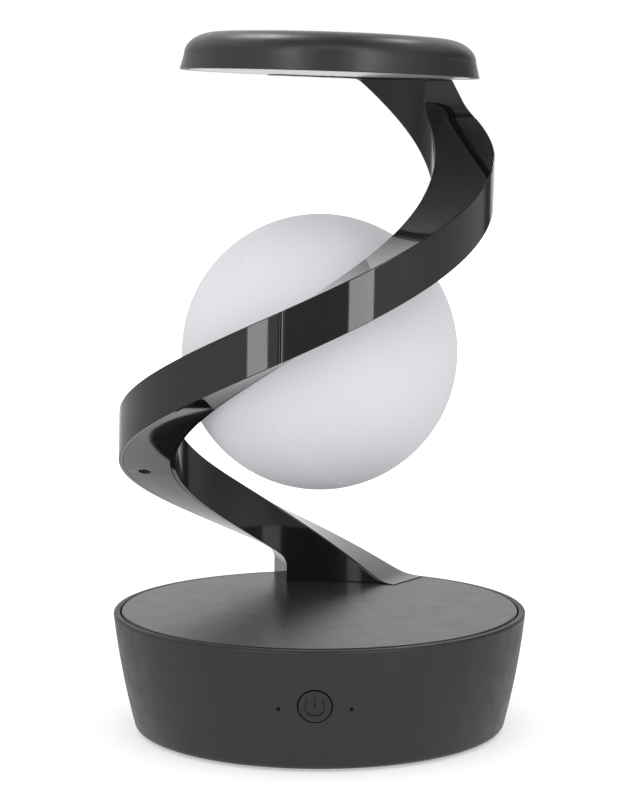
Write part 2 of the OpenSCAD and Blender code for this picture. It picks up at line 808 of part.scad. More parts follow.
module base_housing() {
    rim_z = base_h - rim_round;
    rim_x = wall_r(rim_z) - rim_round / cos(wall_lean(rim_z));
    seat_r = plate_r + plate_gap;
    ledge_z = plate_bottom - ledge_gap;
    slope_z = ledge_z - ledge_t - ledge_w;
    color("#3c3c3e") difference() {
        union() {
            rotate_extrude() polygon(concat(
                [[cover_r + fit, foot_h]],
                arc(edge_x, edge_z, base_edge_r, -90, -wall_lean(edge_z), 8),
                [for (z = span(edge_z, rim_z - rim_round, wall_steps)) [wall_r(z), z]],
                arc(rim_x, rim_z, rim_round, -wall_lean(rim_z), 90, 8),
                [
                    [seat_r + seat_chamfer, base_h],
                    [seat_r, base_h - seat_chamfer],
                    [seat_r, ledge_z],
                    [seat_r - ledge_w, ledge_z],
                    [seat_r - ledge_w, ledge_z - ledge_t]
                ],
                [for (z = span(slope_z, flange_top, wall_steps)) [wall_in(z), z]],
                [
                    [flange_in_r, flange_top],
                    [flange_in_r, cover_top],
                    [cover_r + fit, cover_top]
                ]
            ));
            at_button() translate([0, 0, collar_z])
                cylinder(r = collar_r, h = -collar_z - base_wall + join * 2);
            at_button() at_button_posts() translate([0, 0, button_board_z])
                cylinder(r = button_post_r, h = post_wall_z - button_board_z);
        }
        at_button() translate([0, 0, collar_z - over]) cylinder(d = button_hole_d, h = -collar_z + 2 * over);
        at_button() at_pins() translate([0, 0, collar_z]) cylinder(d = pin_hole_d, h = -collar_z + over);
        at_button() at_button_posts() translate([0, 0, button_board_z - over])
            cylinder(r = pilot_r, h = over + post_pilot_l);
        at_legs() translate([0, 0, cover_top - over]) cylinder(r = pass_r, h = flange_t + 2 * over);
        at_inlet() slot_bar(inlet_w, inlet_h, 2 * base_wall + over);
    }
}

module base_bottom_cover() {
    color("#2e2e30") difference() {
        translate([0, 0, foot_h]) cylinder(r = cover_r, h = bottom_cover_t);
        at_feet() translate([0, 0, foot_h - over]) cylinder(d = foot_d + 2 * fit, h = over + foot_sink);
        at_legs() translate([0, 0, foot_h - over]) cylinder(r = pass_r, h = bottom_cover_t + 2 * over);
        at_legs() translate([0, 0, foot_h - over])
            cylinder(r = counterbore_r, h = over + cover_screw_sink);
    }
}

module rubber_feet() {
    color("#1c1c1c") at_feet() rotate_extrude() polygon([
        [0, 0],
        [foot_d / 2 - foot_chamfer, 0],
        [foot_d / 2, foot_chamfer],
        [foot_d / 2, foot_h + foot_sink],
        [0, foot_h + foot_sink]
    ]);
}

module base_cover_screws() {
    color("silver") at_legs() translate([0, 0, foot_h + cover_screw_sink]) screw(cover_screw_l);
}

module ballast_weight() {
    color("#6f7276") difference() {
        translate([0, 0, cover_top]) cylinder(r = ballast_r, h = ballast_h);
        translate([0, 0, cover_top - over]) cylinder(r = ballast_hole_r, h = ballast_h + 2 * over);
        translate([motor_x, 0, cover_top - over])
            cylinder(r = motor_d / 2 + ballast_margin, h = ballast_h + 2 * over);
    }
}

module chassis_deck() {
    color("#b9bcc0") difference() {
        union() {
            translate([0, 0, deck_bottom]) cylinder(r = deck_r, h = deck_t);
            at_legs() translate([0, 0, flange_top]) cylinder(r = leg_r, h = deck_bottom - flange_top + join);
            at_board_holes() translate([0, 0, board_top]) cylinder(r = standoff_r, h = standoff_l + join);
        }
        translate([-deck_notch_w / 2, -deck_r - over, deck_bottom - over])
            cube([deck_notch_w, deck_r - deck_notch_y + over, deck_t + 2 * over]);
        translate([0, 0, deck_bottom - over]) cylinder(r = post_r + fit, h = deck_t + 2 * over);
        at_post_screws() translate([0, 0, deck_bottom - over])
            cylinder(r = pilot_r, h = over + deck_t - join);
        translate([gear_centre, 0, deck_bottom - over])
            cylinder(r = motor_boss_r + fit, h = deck_t + 2 * over);
        at_motor_ears() translate([0, 0, deck_bottom - over]) cylinder(r = pilot_r, h = deck_t + 2 * over);
        at_legs() translate([0, 0, flange_top - over]) cylinder(r = pilot_r, h = over + leg_pilot_l);
        at_board_holes() translate([0, 0, board_top - over]) cylinder(r = pilot_r, h = over + post_pilot_l);
    }
}

module bearing_post() {
    color("#d8d8d2") difference() {
        union() {
            translate([0, 0, deck_bottom - post_flange_t]) cylinder(r = post_flange_r, h = post_flange_t);
            translate([0, 0, deck_bottom - post_flange_t])
                cylinder(r = post_r, h = retainer_z - deck_bottom + post_flange_t);
            translate([0, 0, deck_bottom]) cylinder(r = nose_r, h = post_top - deck_bottom);
        }
        translate([0, 0, deck_bottom - post_flange_t - over])
            cylinder(r = post_bore_r, h = post_top - deck_bottom + post_flange_t + 2 * over);
        at_post_screws() translate([0, 0, deck_bottom - post_flange_t - over])
            cylinder(r = pass_r, h = post_flange_t + 2 * over);
    }
}

module bearing_post_screws() {
    color("silver") at_post_screws() translate([0, 0, deck_bottom - post_flange_t])
        screw(post_flange_t + deck_t - 2 * join);
}

module thrust_washer() {
    color("#e8e2c8") translate([0, 0, deck_top]) ring(hub_r, post_r + fit, washer_t);
}

module hub_retainer() {
    color("#9a9ca0") translate([0, 0, retainer_z]) ring(retainer_r, nose_r + run_fit, retainer_t);
}

module gear_motor() {
    motor_bottom = deck_bottom - motor_h;
    color("#c4c6c8") difference() {
        union() {
            translate([motor_x, 0, motor_bottom]) cylinder(d = motor_d, h = motor_h);
            translate([gear_centre, 0, deck_bottom - join])
                cylinder(r = motor_boss_r, h = motor_boss_h + join);
            at_motor_ears() translate([0, 0, deck_bottom - motor_ear_t])
                cylinder(r = motor_ear_r, h = motor_ear_t);
            translate([motor_x - motor_ear_r, -motor_ear_x, deck_bottom - motor_ear_t])
                cube([2 * motor_ear_r, 2 * motor_ear_x, motor_ear_t]);
        }
        translate([gear_centre, 0, deck_bottom - shaft_sink])
            cylinder(r = shaft_r + run_fit, h = shaft_sink + motor_boss_h + over);
        at_motor_ears() translate([0, 0, deck_bottom - motor_ear_t - over])
            cylinder(r = pass_r, h = motor_ear_t + 2 * over);
    }
}

module motor_screws() {
    color("silver") at_motor_ears() translate([0, 0, deck_bottom - motor_ear_t])
        screw(motor_ear_t + deck_t - join);
}

module slip_ring_stator() {
    color("#303236") translate([0, 0, slip_z0]) cylinder(r = slip_r, h = slip_z1 - slip_z0);
}

module main_board() {
    color("#2f6b3f") difference() {
        union() {
            translate([-board_w / 2, board_y0, board_bottom]) cube([board_w, board_l, board_t]);
            for (p = board_chips) translate([p[0], board_y0 + p[1], board_top - join])
                cube([p[2], p[3], p[4] + join]);
        }
        at_board_holes() translate([0, 0, board_bottom - over]) cylinder(r = pass_r, h = board_t + 2 * over);
    }
}

module main_board_screws() {
    color("silver") at_board_holes() translate([0, 0, board_bottom]) screw(board_t + board_screw_l);
}

module usb_socket() {
    hollow_w = socket_w - 2 * socket_skin;
    hollow_h = socket_h - 2 * socket_skin;
    color("#b8babd") at_inlet() difference() {
        translate([0, 0, -socket_l]) slot_bar(socket_w, socket_h, socket_l);
        difference() {
            translate([0, 0, -socket_l + over]) slot_bar(hollow_w, hollow_h, socket_l);
            translate([-tongue_w / 2, -tongue_t / 2, -socket_l])
                cube([tongue_w, tongue_t, socket_l - tongue_set_back]);
        }
    }
}

module button_board() {
    color("#2f6b3f") at_button() difference() {
        translate([-button_board_w / 2, -button_board_h / 2, button_board_z - board_t])
            cube([button_board_w, button_board_h, board_t]);
        at_button_posts() translate([0, 0, button_board_z - board_t - over])
            cylinder(r = pass_r, h = board_t + 2 * over);
    }
}

module button_board_screws() {
    color("silver") at_button() at_button_posts() translate([0, 0, button_board_z - board_t])
        screw(board_t + board_screw_l);
}

module switch_body() {
    color("#222222") at_button() difference() {
        translate([-switch_w / 2, -switch_w / 2, button_board_z]) cube([switch_w, switch_w, switch_t]);
        translate([0, 0, button_board_z + switch_floor]) cylinder(r = plunger_r + run_fit, h = switch_t);
    }
}

module indicator_leds() {
    color("#f2f2e6") at_button() at_pins() translate([-led_w / 2, -led_w / 2, button_board_z])
        cube([led_w, led_w, led_t]);
}

// Thin rods behind the pin holes, each with a collar against the inside of the wall
module indicator_light_pipes() {
    pipe_end = button_board_z + led_t + pipe_led_gap;
    collar_top = pin_wall_z - base_wall - pipe_collar_gap;
    color("#5a5a5e") at_button() at_pins() union() {
        translate([0, 0, pipe_end]) cylinder(r = pipe_r, h = pin_wall_z - pipe_recess - pipe_end);
        translate([0, 0, collar_top - pipe_collar_t]) cylinder(r = pipe_collar_r, h = pipe_collar_t);
    }
}

module slip_ring_lead() {
    color("#8a2f2a") tube([
        [0, 0, slip_z0],
        [0, 0, slip_z0 - lead_r / 2],
        [0, lead_r, lead_z + lead_r / 2],
        [0, 3 * lead_r, lead_z],
        [0, board_y0 - 2 * lead_r, lead_z],
        [0, board_y0 + 5 * lead_r, lead_z]
    ], lead_r, [1, 0, 0]);
}

module motor_lead() {
    start_x = motor_x - motor_d / 2;
    color("#b08a2e") tube([
        [start_x, 5 * lead_r, lead_z + 2 * lead_r],
        [start_x - 3 * lead_r, 6 * lead_r, lead_z + lead_r],
        [start_x - 10 * lead_r, board_y0 - 5 * lead_r, lead_z],
        [lead_pad_x + lead_r, board_y0 + lead_r, lead_z],
        [lead_pad_x, board_y0 + 4 * lead_r, lead_z]
    ], lead_r, [0, 0, 1]);
}

module switch_lead() {
    back_z = button_board_z - board_t;
    color("#3a5f94") tube([
        button_point([-lead_lane_x / 2, 0, back_z - lead_end_gap]),
        button_point([-lead_lane_x / 2, 0, back_z - 2 * lead_r]),
        button_point([-lead_lane_x / 2 - lead_r, -3 * lead_r, back_z - 4 * lead_r]),
        [-lead_lane_x + 3 * lead_r, button_point([0, 0, back_z]).y + 10 * lead_r, lead_z + 2 * lead_r],
        [-lead_lane_x, -lead_lane_x, lead_z + lead_r],
        [-lead_lane_x, 3 * lead_r, lead_z + lead_r],
        [-board_hole_x, board_y0 - 5 * lead_r, lead_z],
        [-lead_pad_x, board_y0 + lead_r, lead_z],
        [-lead_pad_x, board_y0 + 4 * lead_r, lead_z]
    ], lead_r, [0.2, 0, 1]);
}

// Power button

module power_button() {
    face_z = button_proud;
    color("#3a3a3c") at_button() difference() {
        union() {
            translate([0, 0, button_flange_z]) cylinder(r = button_r, h = face_z - button_flange_z);
            translate([0, 0, button_flange_z]) cylinder(r = button_flange_r, h = button_flange_t);
            translate([0, 0, stem_z]) cylinder(r = stem_r, h = button_flange_z - stem_z + join);
        }
        translate([0, 0, face_z - symbol_depth]) rotate(90 + symbol_open / 2)
            rotate_extrude(angle = 360 - symbol_open)
                translate([symbol_r - symbol_w / 2, 0]) square([symbol_w, symbol_depth + over]);
        translate([-symbol_w / 2, symbol_bar_y, face_z - symbol_depth])
            cube([symbol_w, symbol_bar_l, symbol_depth + over]);
    }
}

module switch_plunger() {
    color("#d0d0c8") at_button() translate([0, 0, stem_z - plunger_l]) cylinder(r = plunger_r, h = plunger_l);
}

// Drive

module drive_pinion() {
    color("#e6e6e0") translate([gear_centre, 0, pinion_z0]) difference() {
        rotate(pinion_teeth % 2 == 0 ? 180 / pinion_teeth : 0)
            linear_extrude(pinion_t) polygon(gear_points(pinion_teeth));
        translate([0, 0, -over]) cylinder(r = shaft_r + press_gap, h = pinion_t + 2 * over);
    }
}

module motor_shaft() {
    z0 = deck_bottom - shaft_sink + shaft_end_gap;
    color("#cfd2d6") translate([gear_centre, 0, z0]) cylinder(r = shaft_r, h = pinion_z0 + pinion_t - z0);
}

// Turntable

module turntable_plate() {
    color("#434345") difference() {
        union() {
            rotate_extrude() polygon([
                [0, plate_bottom],
                [plate_r, plate_bottom],
                [plate_r, plate_z - plate_chamfer],
                [plate_r - plate_chamfer, plate_z],
                [0, plate_z]
            ]);
            translate([0, 0, hub_bottom]) cylinder(r = hub_r, h = hub_l + join);
        }
        translate([0, 0, hub_bottom - over]) cylinder(r = hub_bore_r, h = hub_step_z - hub_bottom + 2 * over);
        translate([0, 0, hub_step_z]) cylinder(r = hub_room_r, h = plate_bottom - hub_step_z);
        for (a = foot_screw_a) translate(polar(foot_screw_r(a), a, plate_bottom - over))
            cylinder(r = pass_r, h = plate_t + 2 * over);
        translate(polar(foot_lead_r, foot_lead_a, plate_bottom - over))
            cylinder(r = foot_lead_hole_r, h = plate_t + 2 * over);
        rotate(foot_lead_a - 90) translate([hub_room_r - over, 0, turntable_lead_z]) rotate([0, 90, 0])
            cylinder(r = lead_hole_r, h = hub_r - hub_room_r + 2 * over);
    }
}

module turntable_gear() {
    color("#e6e6e0") translate([0, 0, gear_z0]) difference() {
        linear_extrude(gear_t) polygon(gear_points(gear_teeth));
        translate([0, 0, -over]) cylinder(r = hub_r + press_gap, h = gear_t + 2 * over);
    }
}

module slip_ring_rotor() {
    color("#55585c") translate([0, 0, rotor_z0]) cylinder(r = rotor_r, h = rotor_z1 - rotor_z0);
}

// Lead under the plate, from the slip ring to the hole under the arm's foot
module turntable_lead() {
    color("#8a2f2a") rotate(foot_lead_a - 90) tube([
        [rotor_r + lead_end_gap, 0, turntable_lead_z],
        [hub_r / 2 + 2, 0, turntable_lead_z],
        [foot_lead_r / 2, 0, turntable_lead_z],
        [foot_lead_r - 4, 0, turntable_lead_z],
        [foot_lead_r + lead_r, 0, turntable_lead_z]
    ], lead_r, [0, 1, 0]);
}

module foot_screws() {
    color("silver") for (a = foot_screw_a) translate(polar(foot_screw_r(a), a, plate_bottom))
        screw(plate_t + foot_screw_l);
}

// Arm

module lower_arm_shell() {
    color("#1f1f21") difference() {
        union() {
            sweep([for (a = lower_angles) shell_ring(a)], strips = true);
            at_arm(lower_screw_a, arm_bot(lower_screw_a) + pillar_z1 + fit)
                cylinder(r = arm_boss_r, h = arm_h - pillar_z1 - fit - arm_boss_drop);
            for (a = foot_screw_a) translate(polar(foot_screw_r(a), a, plate_z))
                cylinder(r = foot_boss_r, h = arm_top(a) - plate_z - foot_boss_drop);
        }
        at_arm(lower_screw_a, arm_bot(lower_screw_a) + pillar_z1)
            cylinder(r = pilot_r, h = arm_screw_l - pillar_z0 + join);
        for (a = foot_screw_a) translate(polar(foot_screw_r(a), a, plate_z - over))
            cylinder(r = pilot_r, h = over + foot_screw_l + join);
        at_stud() translate([0, 0, stud_wall - nut_r]) cylinder(r = stud_r + fit, h = nut_r + arm_wall * 2);
    }
}

// A cover, with a pillar around its screw hole
module arm_cover(angles, screw_a) {
    z0 = arm_bot(screw_a);
    difference() {
        union() {
            sweep([for (a = angles) cover_ring(a)]);
            at_arm(screw_a, z0 + pillar_z0) cylinder(r = pillar_r, h = pillar_z1 - pillar_z0);
        }
        at_arm(screw_a, z0 - pillar_z1) cylinder(r = counterbore_r, h = pillar_z1 + screw_seat);
        at_arm(screw_a, z0) cylinder(r = pass_r, h = pillar_z1 + over);
    }
}

module lower_arm_cover() {
    color("#232325") arm_cover(lower_cover_angles, lower_screw_a);
}

module upper_arm_shell() {
    color("#1f1f21") difference() {
        union() {
            sweep([for (a = upper_angles) shell_ring(a)], strips = true);
            at_arm(upper_screw_a, arm_bot(upper_screw_a) + pillar_z1 + fit)
                cylinder(r = arm_boss_r, h = arm_h - pillar_z1 - fit - arm_boss_drop);
        }
        at_arm(upper_screw_a, arm_bot(upper_screw_a) + pillar_z1)
            cylinder(r = pilot_r, h = arm_screw_l - pillar_z0 + join);
        at_head() at_head_screws() translate([0, 0, -2 * arm_roof_t])
            cylinder(r = pass_r, h = 2 * arm_roof_t + over);
        at_head() translate(polar(head_lead_r, lead_end_a, -2 * arm_roof_t))
            cylinder(r = lead_hole_r, h = 2 * arm_roof_t + over);
    }
}

module upper_arm_cover() {
    color("#232325") arm_cover(upper_cover_angles, upper_screw_a);
}

module arm_cover_screws() {
    color("silver") for (a = [lower_screw_a, upper_screw_a])
        at_arm(a, arm_bot(a) + screw_seat) screw(arm_screw_l);
}

module arm_joint_sleeve() {
    color("#4a4a4c") sweep([for (a = span(arm_seam_a - sleeve_a, arm_seam_a + sleeve_a, 8)) sleeve_ring(a)],
        strips = true);
}

module arm_lead() {
    color("#8a2f2a") sweep([for (i = [0 : len(lead_path) - 1])
        tube_ring(lead_path[i], tangent(lead_path, i), side_ref(lead_path[i]), lead_r, tube_sides)]);
}

// Orb

module orb_half(side) {
    difference() {
        sphere(r = orb_r);
        sphere(r = orb_r - orb_wall);
        translate([-orb_d, -orb_d, side > 0 ? -2 * orb_d : 0]) cube([2 * orb_d, 2 * orb_d, 2 * orb_d]);
        rotate([0, 90, 0]) translate([0, 0, orb_r - 2 * orb_wall])
            cylinder(r = stud_r + fit, h = 4 * orb_wall);
    }
}

module orb_front_half() {
    color("#f4f4f2") at_orb() orb_half(1);
}

// The rear half carries the lip that centres the front half
module orb_rear_half() {
    lip_r = orb_r - orb_wall - fit;
    color("#f4f4f2") at_orb() union() {
        orb_half(-1);
        difference() {
            rotate_extrude() polygon([
                [lip_r - orb_lip_t, -orb_lip_h],
                [lip_r + orb_wall / 2, -orb_lip_h],
                [lip_r + orb_wall / 2, -join],
                [lip_r - orb_lip_gap, 0],
                [lip_r - orb_lip_gap, orb_lip_h],
                [lip_r - orb_lip_t, orb_lip_h]
            ]);
            rotate([0, 90, 0]) translate([0, 0, orb_r - 3 * orb_wall])
                cylinder(r = stud_flange_r + join, h = 6 * orb_wall);
        }
    }
}

module orb_mount_stud() {
    color("#8d9094") at_stud() difference() {
        union() {
            translate([0, 0, flange_inner]) cylinder(r = stud_r, h = stud_end - flange_inner);
            translate([0, 0, flange_inner]) cylinder(r = stud_flange_r, h = stud_flange_t);
        }
        translate([0, 0, flange_inner - over])
            cylinder(r = stud_bore_r, h = stud_end - flange_inner + 2 * over);
    }
}

module orb_stud_nut() {
    color("#b8babd") at_stud() translate([0, 0, stud_wall + arm_wall + nut_gap])
        ring(nut_r, stud_r + press_gap, nut_t);
}

module orb_led_board() {
    color("#e9eaec") at_stud() translate([0, 0, flange_inner - board_t])
        ring(orb_board_r, stud_bore_r, board_t);
}

module orb_leds() {
    color("#f4e9a8") at_stud() for (i = [0 : orb_led_count - 1]) rotate(360 / orb_led_count * i)
        translate([orb_led_ring_r - orb_led_w / 2, -orb_led_w / 2, flange_inner - board_t - orb_led_t])
            cube([orb_led_w, orb_led_w, orb_led_t]);
}

module orb_lead() {
    color("#3a5f94") at_stud() translate([0, 0, flange_inner - board_t])
        cylinder(r = stud_bore_r - join, h = stud_end + orb_lead_out - flange_inner + board_t);
}

// Head

function head_outline(inset) = concat(
    [[head_r - inset, 0]],
    [for (t = span(0, 90, 12)) [
        head_r - head_side_in - head_round_w + (head_round_w - inset) * cos(t),
        head_side_h + (head_round_h - inset) * sin(t)
    ]],
    [[head_flat_r, head_h - inset], [0, head_h - inset]]
);

module head_cap() {
    color("#434345") at_head() difference() {
        union() {
            difference() {
                rotate_extrude() polygon(concat([[0, 0]], head_outline(0)));
                rotate_extrude()
                    polygon(concat([[0, -over], [head_r - head_wall, -over]], head_outline(head_wall)));
            }
            at_frame_screws() translate([0, 0, frame_top])
                cylinder(r = cap_boss_r, h = cap_boss_top - frame_top);
        }
        at_frame_screws() translate([0, 0, frame_top - over]) cylinder(r = pilot_r, h = over + cap_pilot_l);
    }
}

module head_diffuser() {
    color("#f7f7f5") at_head() difference() {
        translate([0, 0, diffuser_z]) cylinder(r = diffuser_r, h = diffuser_t);
        at_head_screws() cylinder(r = pass_r, h = 2 * diffuser_t);
        translate(polar(head_lead_r, lead_end_a, 0)) cylinder(r = lead_hole_r, h = 2 * diffuser_t);
    }
}

module head_frame() {
    color("#2e2e30") at_head() difference() {
        union() {
            translate([0, 0, frame_z]) cylinder(r = frame_r, h = frame_t);
            at_head_screws() translate([0, 0, diffuser_z + diffuser_t])
                cylinder(r = head_boss_r, h = frame_top - diffuser_z - diffuser_t);
        }
        at_frame_screws() translate([0, 0, frame_z - over]) cylinder(r = pass_r, h = frame_t + 2 * over);
        at_head_screws() translate([0, 0, diffuser_z])
            cylinder(r = pilot_r, h = frame_top - diffuser_z - 2 * join);
        translate(polar(head_lead_r, lead_end_a, frame_z - over))
            cylinder(r = lead_hole_r, h = frame_t + 2 * over);
    }
}

module head_frame_screws() {
    color("silver") at_head() at_frame_screws() translate([0, 0, frame_z])
        screw(frame_t + cap_pilot_l - join);
}

// Up from inside the arm, through its top and the diffuser, into the frame's bosses
module head_screws() {
    color("silver") at_head() at_head_screws() translate([0, 0, -arm_roof_t - seat_gap - fit])
        screw(head_screw_l);
}

module head_led_board() {
    color("#e9eaec") at_head() difference() {
        translate([0, 0, led_board_z]) ring(frame_r, led_board_in_r, led_board_t);
        at_head_screws() translate([0, 0, led_board_z - over])
            cylinder(r = head_boss_r + fit, h = led_board_t + 2 * over);
        at_frame_screws() translate([0, 0, led_board_z - over])
            cylinder(r = counterbore_r, h = led_board_t + 2 * over);
        translate(polar(head_lead_r, lead_end_a, led_board_z - over))
            cylinder(r = lead_hole_r, h = led_board_t + 2 * over);
    }
}

module head_leds() {
    color("#f4e9a8") at_head() for (i = [0 : head_led_count - 1]) rotate(360 / head_led_count * i)
        translate([head_led_ring_r - head_led_w / 2, -head_led_w / 2, led_board_z - head_led_t])
            cube([head_led_w, head_led_w, head_led_t]);
}

module ferrite_shield() {
    color("#3b3b3b") at_head() translate([0, 0, frame_top]) cylinder(r = ferrite_r, h = ferrite_t);
}

module charging_coil() {
    color("#b5713a") at_head() translate([0, 0, frame_top + ferrite_t]) ring(coil_r, coil_in_r, coil_t);
}

module charger_board() {
    color("#2f6b3f") at_head() translate([charger_x, 0, frame_top]) union() {
        translate([-charger_w / 2, -charger_l / 2, 0]) cube([charger_w, charger_l, charger_t]);
        translate([-charger_chip / 2, -charger_chip / 2, charger_t - join])
            cube([charger_chip, charger_chip, charger_chip_t + join]);
    }
}

base_housing();
base_bottom_cover();
rubber_feet();
base_cover_screws();
ballast_weight();
chassis_deck();
bearing_post();
bearing_post_screws();
thrust_washer();
hub_retainer();
gear_motor();
motor_screws();
slip_ring_stator();
main_board();
main_board_screws();
usb_socket();
button_board();
button_board_screws();
switch_body();
indicator_leds();
indicator_light_pipes();
slip_ring_lead();
motor_lead();
switch_lead();
power_button();
switch_plunger();
drive_pinion();
motor_shaft();
turntable_plate();
turntable_gear();
slip_ring_rotor();
turntable_lead();
foot_screws();
lower_arm_shell();
lower_arm_cover();
upper_arm_shell();
upper_arm_cover();
arm_cover_screws();
arm_joint_sleeve();
arm_lead();
orb_front_half();
orb_rear_half();
orb_mount_stud();
orb_stud_nut();
orb_led_board();
orb_leds();
orb_lead();
head_cap();
head_diffuser();
head_frame();
head_frame_screws();
head_screws();
head_led_board();
head_leds();
ferrite_shield();
charging_coil();
charger_board();
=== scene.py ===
"""Looks of the orb desk lamp: finer skins for its curved pieces, materials, light and camera."""

import json
import math

import bmesh
import bpy
from mathutils import Matrix, Vector


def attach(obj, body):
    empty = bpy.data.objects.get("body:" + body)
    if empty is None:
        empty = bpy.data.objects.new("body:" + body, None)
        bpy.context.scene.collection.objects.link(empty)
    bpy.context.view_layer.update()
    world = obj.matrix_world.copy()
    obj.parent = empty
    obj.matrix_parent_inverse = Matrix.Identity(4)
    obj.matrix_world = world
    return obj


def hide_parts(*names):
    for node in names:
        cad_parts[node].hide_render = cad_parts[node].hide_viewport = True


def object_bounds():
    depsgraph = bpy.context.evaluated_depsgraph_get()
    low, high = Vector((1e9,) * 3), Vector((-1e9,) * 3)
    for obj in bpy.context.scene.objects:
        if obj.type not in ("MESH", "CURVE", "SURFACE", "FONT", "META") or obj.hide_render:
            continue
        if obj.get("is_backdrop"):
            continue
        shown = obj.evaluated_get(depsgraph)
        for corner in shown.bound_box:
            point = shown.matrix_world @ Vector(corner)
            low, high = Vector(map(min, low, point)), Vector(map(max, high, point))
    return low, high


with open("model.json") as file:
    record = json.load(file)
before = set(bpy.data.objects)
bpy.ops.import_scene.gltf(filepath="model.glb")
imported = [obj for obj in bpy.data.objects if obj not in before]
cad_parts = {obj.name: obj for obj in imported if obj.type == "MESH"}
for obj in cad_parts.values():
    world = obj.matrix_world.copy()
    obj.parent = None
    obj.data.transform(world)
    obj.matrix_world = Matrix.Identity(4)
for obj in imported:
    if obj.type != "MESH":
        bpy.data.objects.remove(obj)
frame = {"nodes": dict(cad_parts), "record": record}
cad_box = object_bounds()
nodes = frame["nodes"]
scene = bpy.context.scene

MM = 0.001

# Plate and orb. Sizes are in millimetres and degrees, the same as in the part's source
PLATE_Z = 41.0
PLATE_R = 67.2
ORB_R = 46.7
ORB_WALL = 2.0
ORB_Z = PLATE_Z + 86.9
ORB_BACK = 4.6
ORB_ROLL = -20.0
STUD_HOLE_R = 3.1

# Band arm. Its angles, which end in _A, _FROM or _SPAN, count from the front towards +X
ARM_H = 16.4
ARM_W_LOW = 19.1
ARM_W_HIGH = 20.2
ARM_R_LOW = ORB_R + 4.2
ARM_R_HIGH = ORB_R - 11.8
ARM_FOOT_A = -206.6
ARM_HEAD_A = 166.0
ARM_MID_A = 18.0
ARM_STEEPEN = 0.145
ARM_LEAN = 0.0189
ARM_NARROW_FROM = -129.7
ARM_NARROW_SPAN = 246.7
ARM_TUCK_FROM = -125.2
ARM_TUCK_SPAN = 60.5
ARM_SEAM_A = -11.6
SEAM_GAP_A = 0.06
ARM_WALL = 1.5
ARM_ROOF_T = 2.0
ARM_EDGE = 0.6

# Foot of the band on the plate
FOOT_OUT_R = PLATE_R - 0.2
FOOT_IN_R = FOOT_OUT_R - 19.5
FOOT_WALL_A = -164.6
FOOT_FILLET = 3.0
FOOT_EASE = 1.0
FOOT_END_A = ARM_FOOT_A - 6

# Head, and the band's end under it. SKIN_IN keeps the skin a hair below the solid's top
SKIN_IN = 0.002
HEAD_RISE = 180.0
HEAD_Z = PLATE_Z + HEAD_RISE
HEAD_X = ARM_LEAN * HEAD_RISE
HEAD_TILT = 1.9
HEAD_R = ARM_R_HIGH + 14.9
HEAD_H = 13.0 - SKIN_IN
HEAD_WALL = 2.0
HEAD_SIDE_H = 5.2
HEAD_SIDE_IN = 1.3
HEAD_ROUND_W = 11.2
HEAD_CROWN = 0.4
HEAD_FLAT_R = HEAD_R - 19.4
HEAD_WALL_A = 112.4
HEAD_FILLET = 4.0
HEAD_EASE = 0.55
HEAD_FLANGE = 0.35
HEAD_TUCK_FROM = 76.0
HEAD_TUCK_SPAN = 80.0
HEAD_END_A = ARM_HEAD_A + 44
HEAD_PAD_R = HEAD_R - 5.3
HEAD_TUCK_R = HEAD_PAD_R + 2.3
HEAD_PAD_DROP = 17.7
SEAT_GAP = 0.05

# Covers under the band, with their screws
ARM_COVER_T = 2.0
COVER_SIDE = ARM_WALL + 0.1
COVER_END_A = ARM_HEAD_A - 9
LOWER_SCREW_A = -98.0
LOWER_SCREW_OUT = 1.85
UPPER_SCREW_A = 100.0
PILLAR_R = 3.2
PILLAR_H = 5.0
SCREW_SEAT = 3.0
SCREW_HOLE_R = 2.1
SCREW_PASS_R = 1.2

# Hollow of the band, which ends just past the upper cover
ROOF_END_A = COVER_END_A + 0.3
ROOF_REST = 0.05
ROOF_LAG = math.degrees(ARM_ROOF_T / (ARM_R_HIGH + ARM_W_HIGH / 2))


# Formulas of the band arm, where a is an angle, r a radius and z a height


def mix(first, last, share):
    return first + (last - first) * share


def smooth(share):
    held = min(1.0, max(0.0, share))
    return held * held * (3 - 2 * held)


def soft(value, ease):
    """The value where it is well above 0, and 0 where it is well below, with a soft bend between."""
    return (value + math.sqrt(value * value + 4 * ease * ease)) / 2


def span(first, last, count):
    return [mix(first, last, i / count) for i in range(count + 1)]


def fillet(run, radius):
    """Height of a fillet at a distance from its wall."""
    if run >= radius:
        return 0.0
    rest = radius - max(0.0, run)
    return radius - math.sqrt(max(0.0, radius * radius - rest**2))


def from_middle(a):
    """Angle from the middle of the climb, in radians."""
    return math.radians(a - ARM_MID_A)


ARM_SWEEP = from_middle(ARM_HEAD_A) - from_middle(ARM_FOOT_A)
ARM_BEND_RISE = ARM_STEEPEN * (from_middle(ARM_HEAD_A) ** 3 - from_middle(ARM_FOOT_A) ** 3)
ARM_CLIMB = (HEAD_RISE + ARM_H - ARM_BEND_RISE) / ARM_SWEEP
HEAD_PAD_SLOPE = (ARM_R_HIGH + ARM_W_HIGH - HEAD_PAD_R) / HEAD_PAD_DROP


def arm_top(a):
    climb = ARM_CLIMB * (from_middle(a) - from_middle(ARM_FOOT_A))
    return PLATE_Z + climb + ARM_STEEPEN * (from_middle(a) ** 3 - from_middle(ARM_FOOT_A) ** 3)


def arm_bot(a):
    return arm_top(a) - ARM_H


def arm_narrow(a):
    """Share of the way from the wide lower turn to the narrow upper one."""
    return smooth((a - ARM_NARROW_FROM) / ARM_NARROW_SPAN)


def arm_tuck(a):
    """Share of the way in to the foot's radii."""
    return smooth((ARM_TUCK_FROM - a) / ARM_TUCK_SPAN)


def head_tuck(a):
    """Share of the way in to the pad under the head."""
    return smooth((a - HEAD_TUCK_FROM) / HEAD_TUCK_SPAN)


def arm_in(a):
    return mix(mix(ARM_R_LOW, ARM_R_HIGH, arm_narrow(a)), FOOT_IN_R, arm_tuck(a))


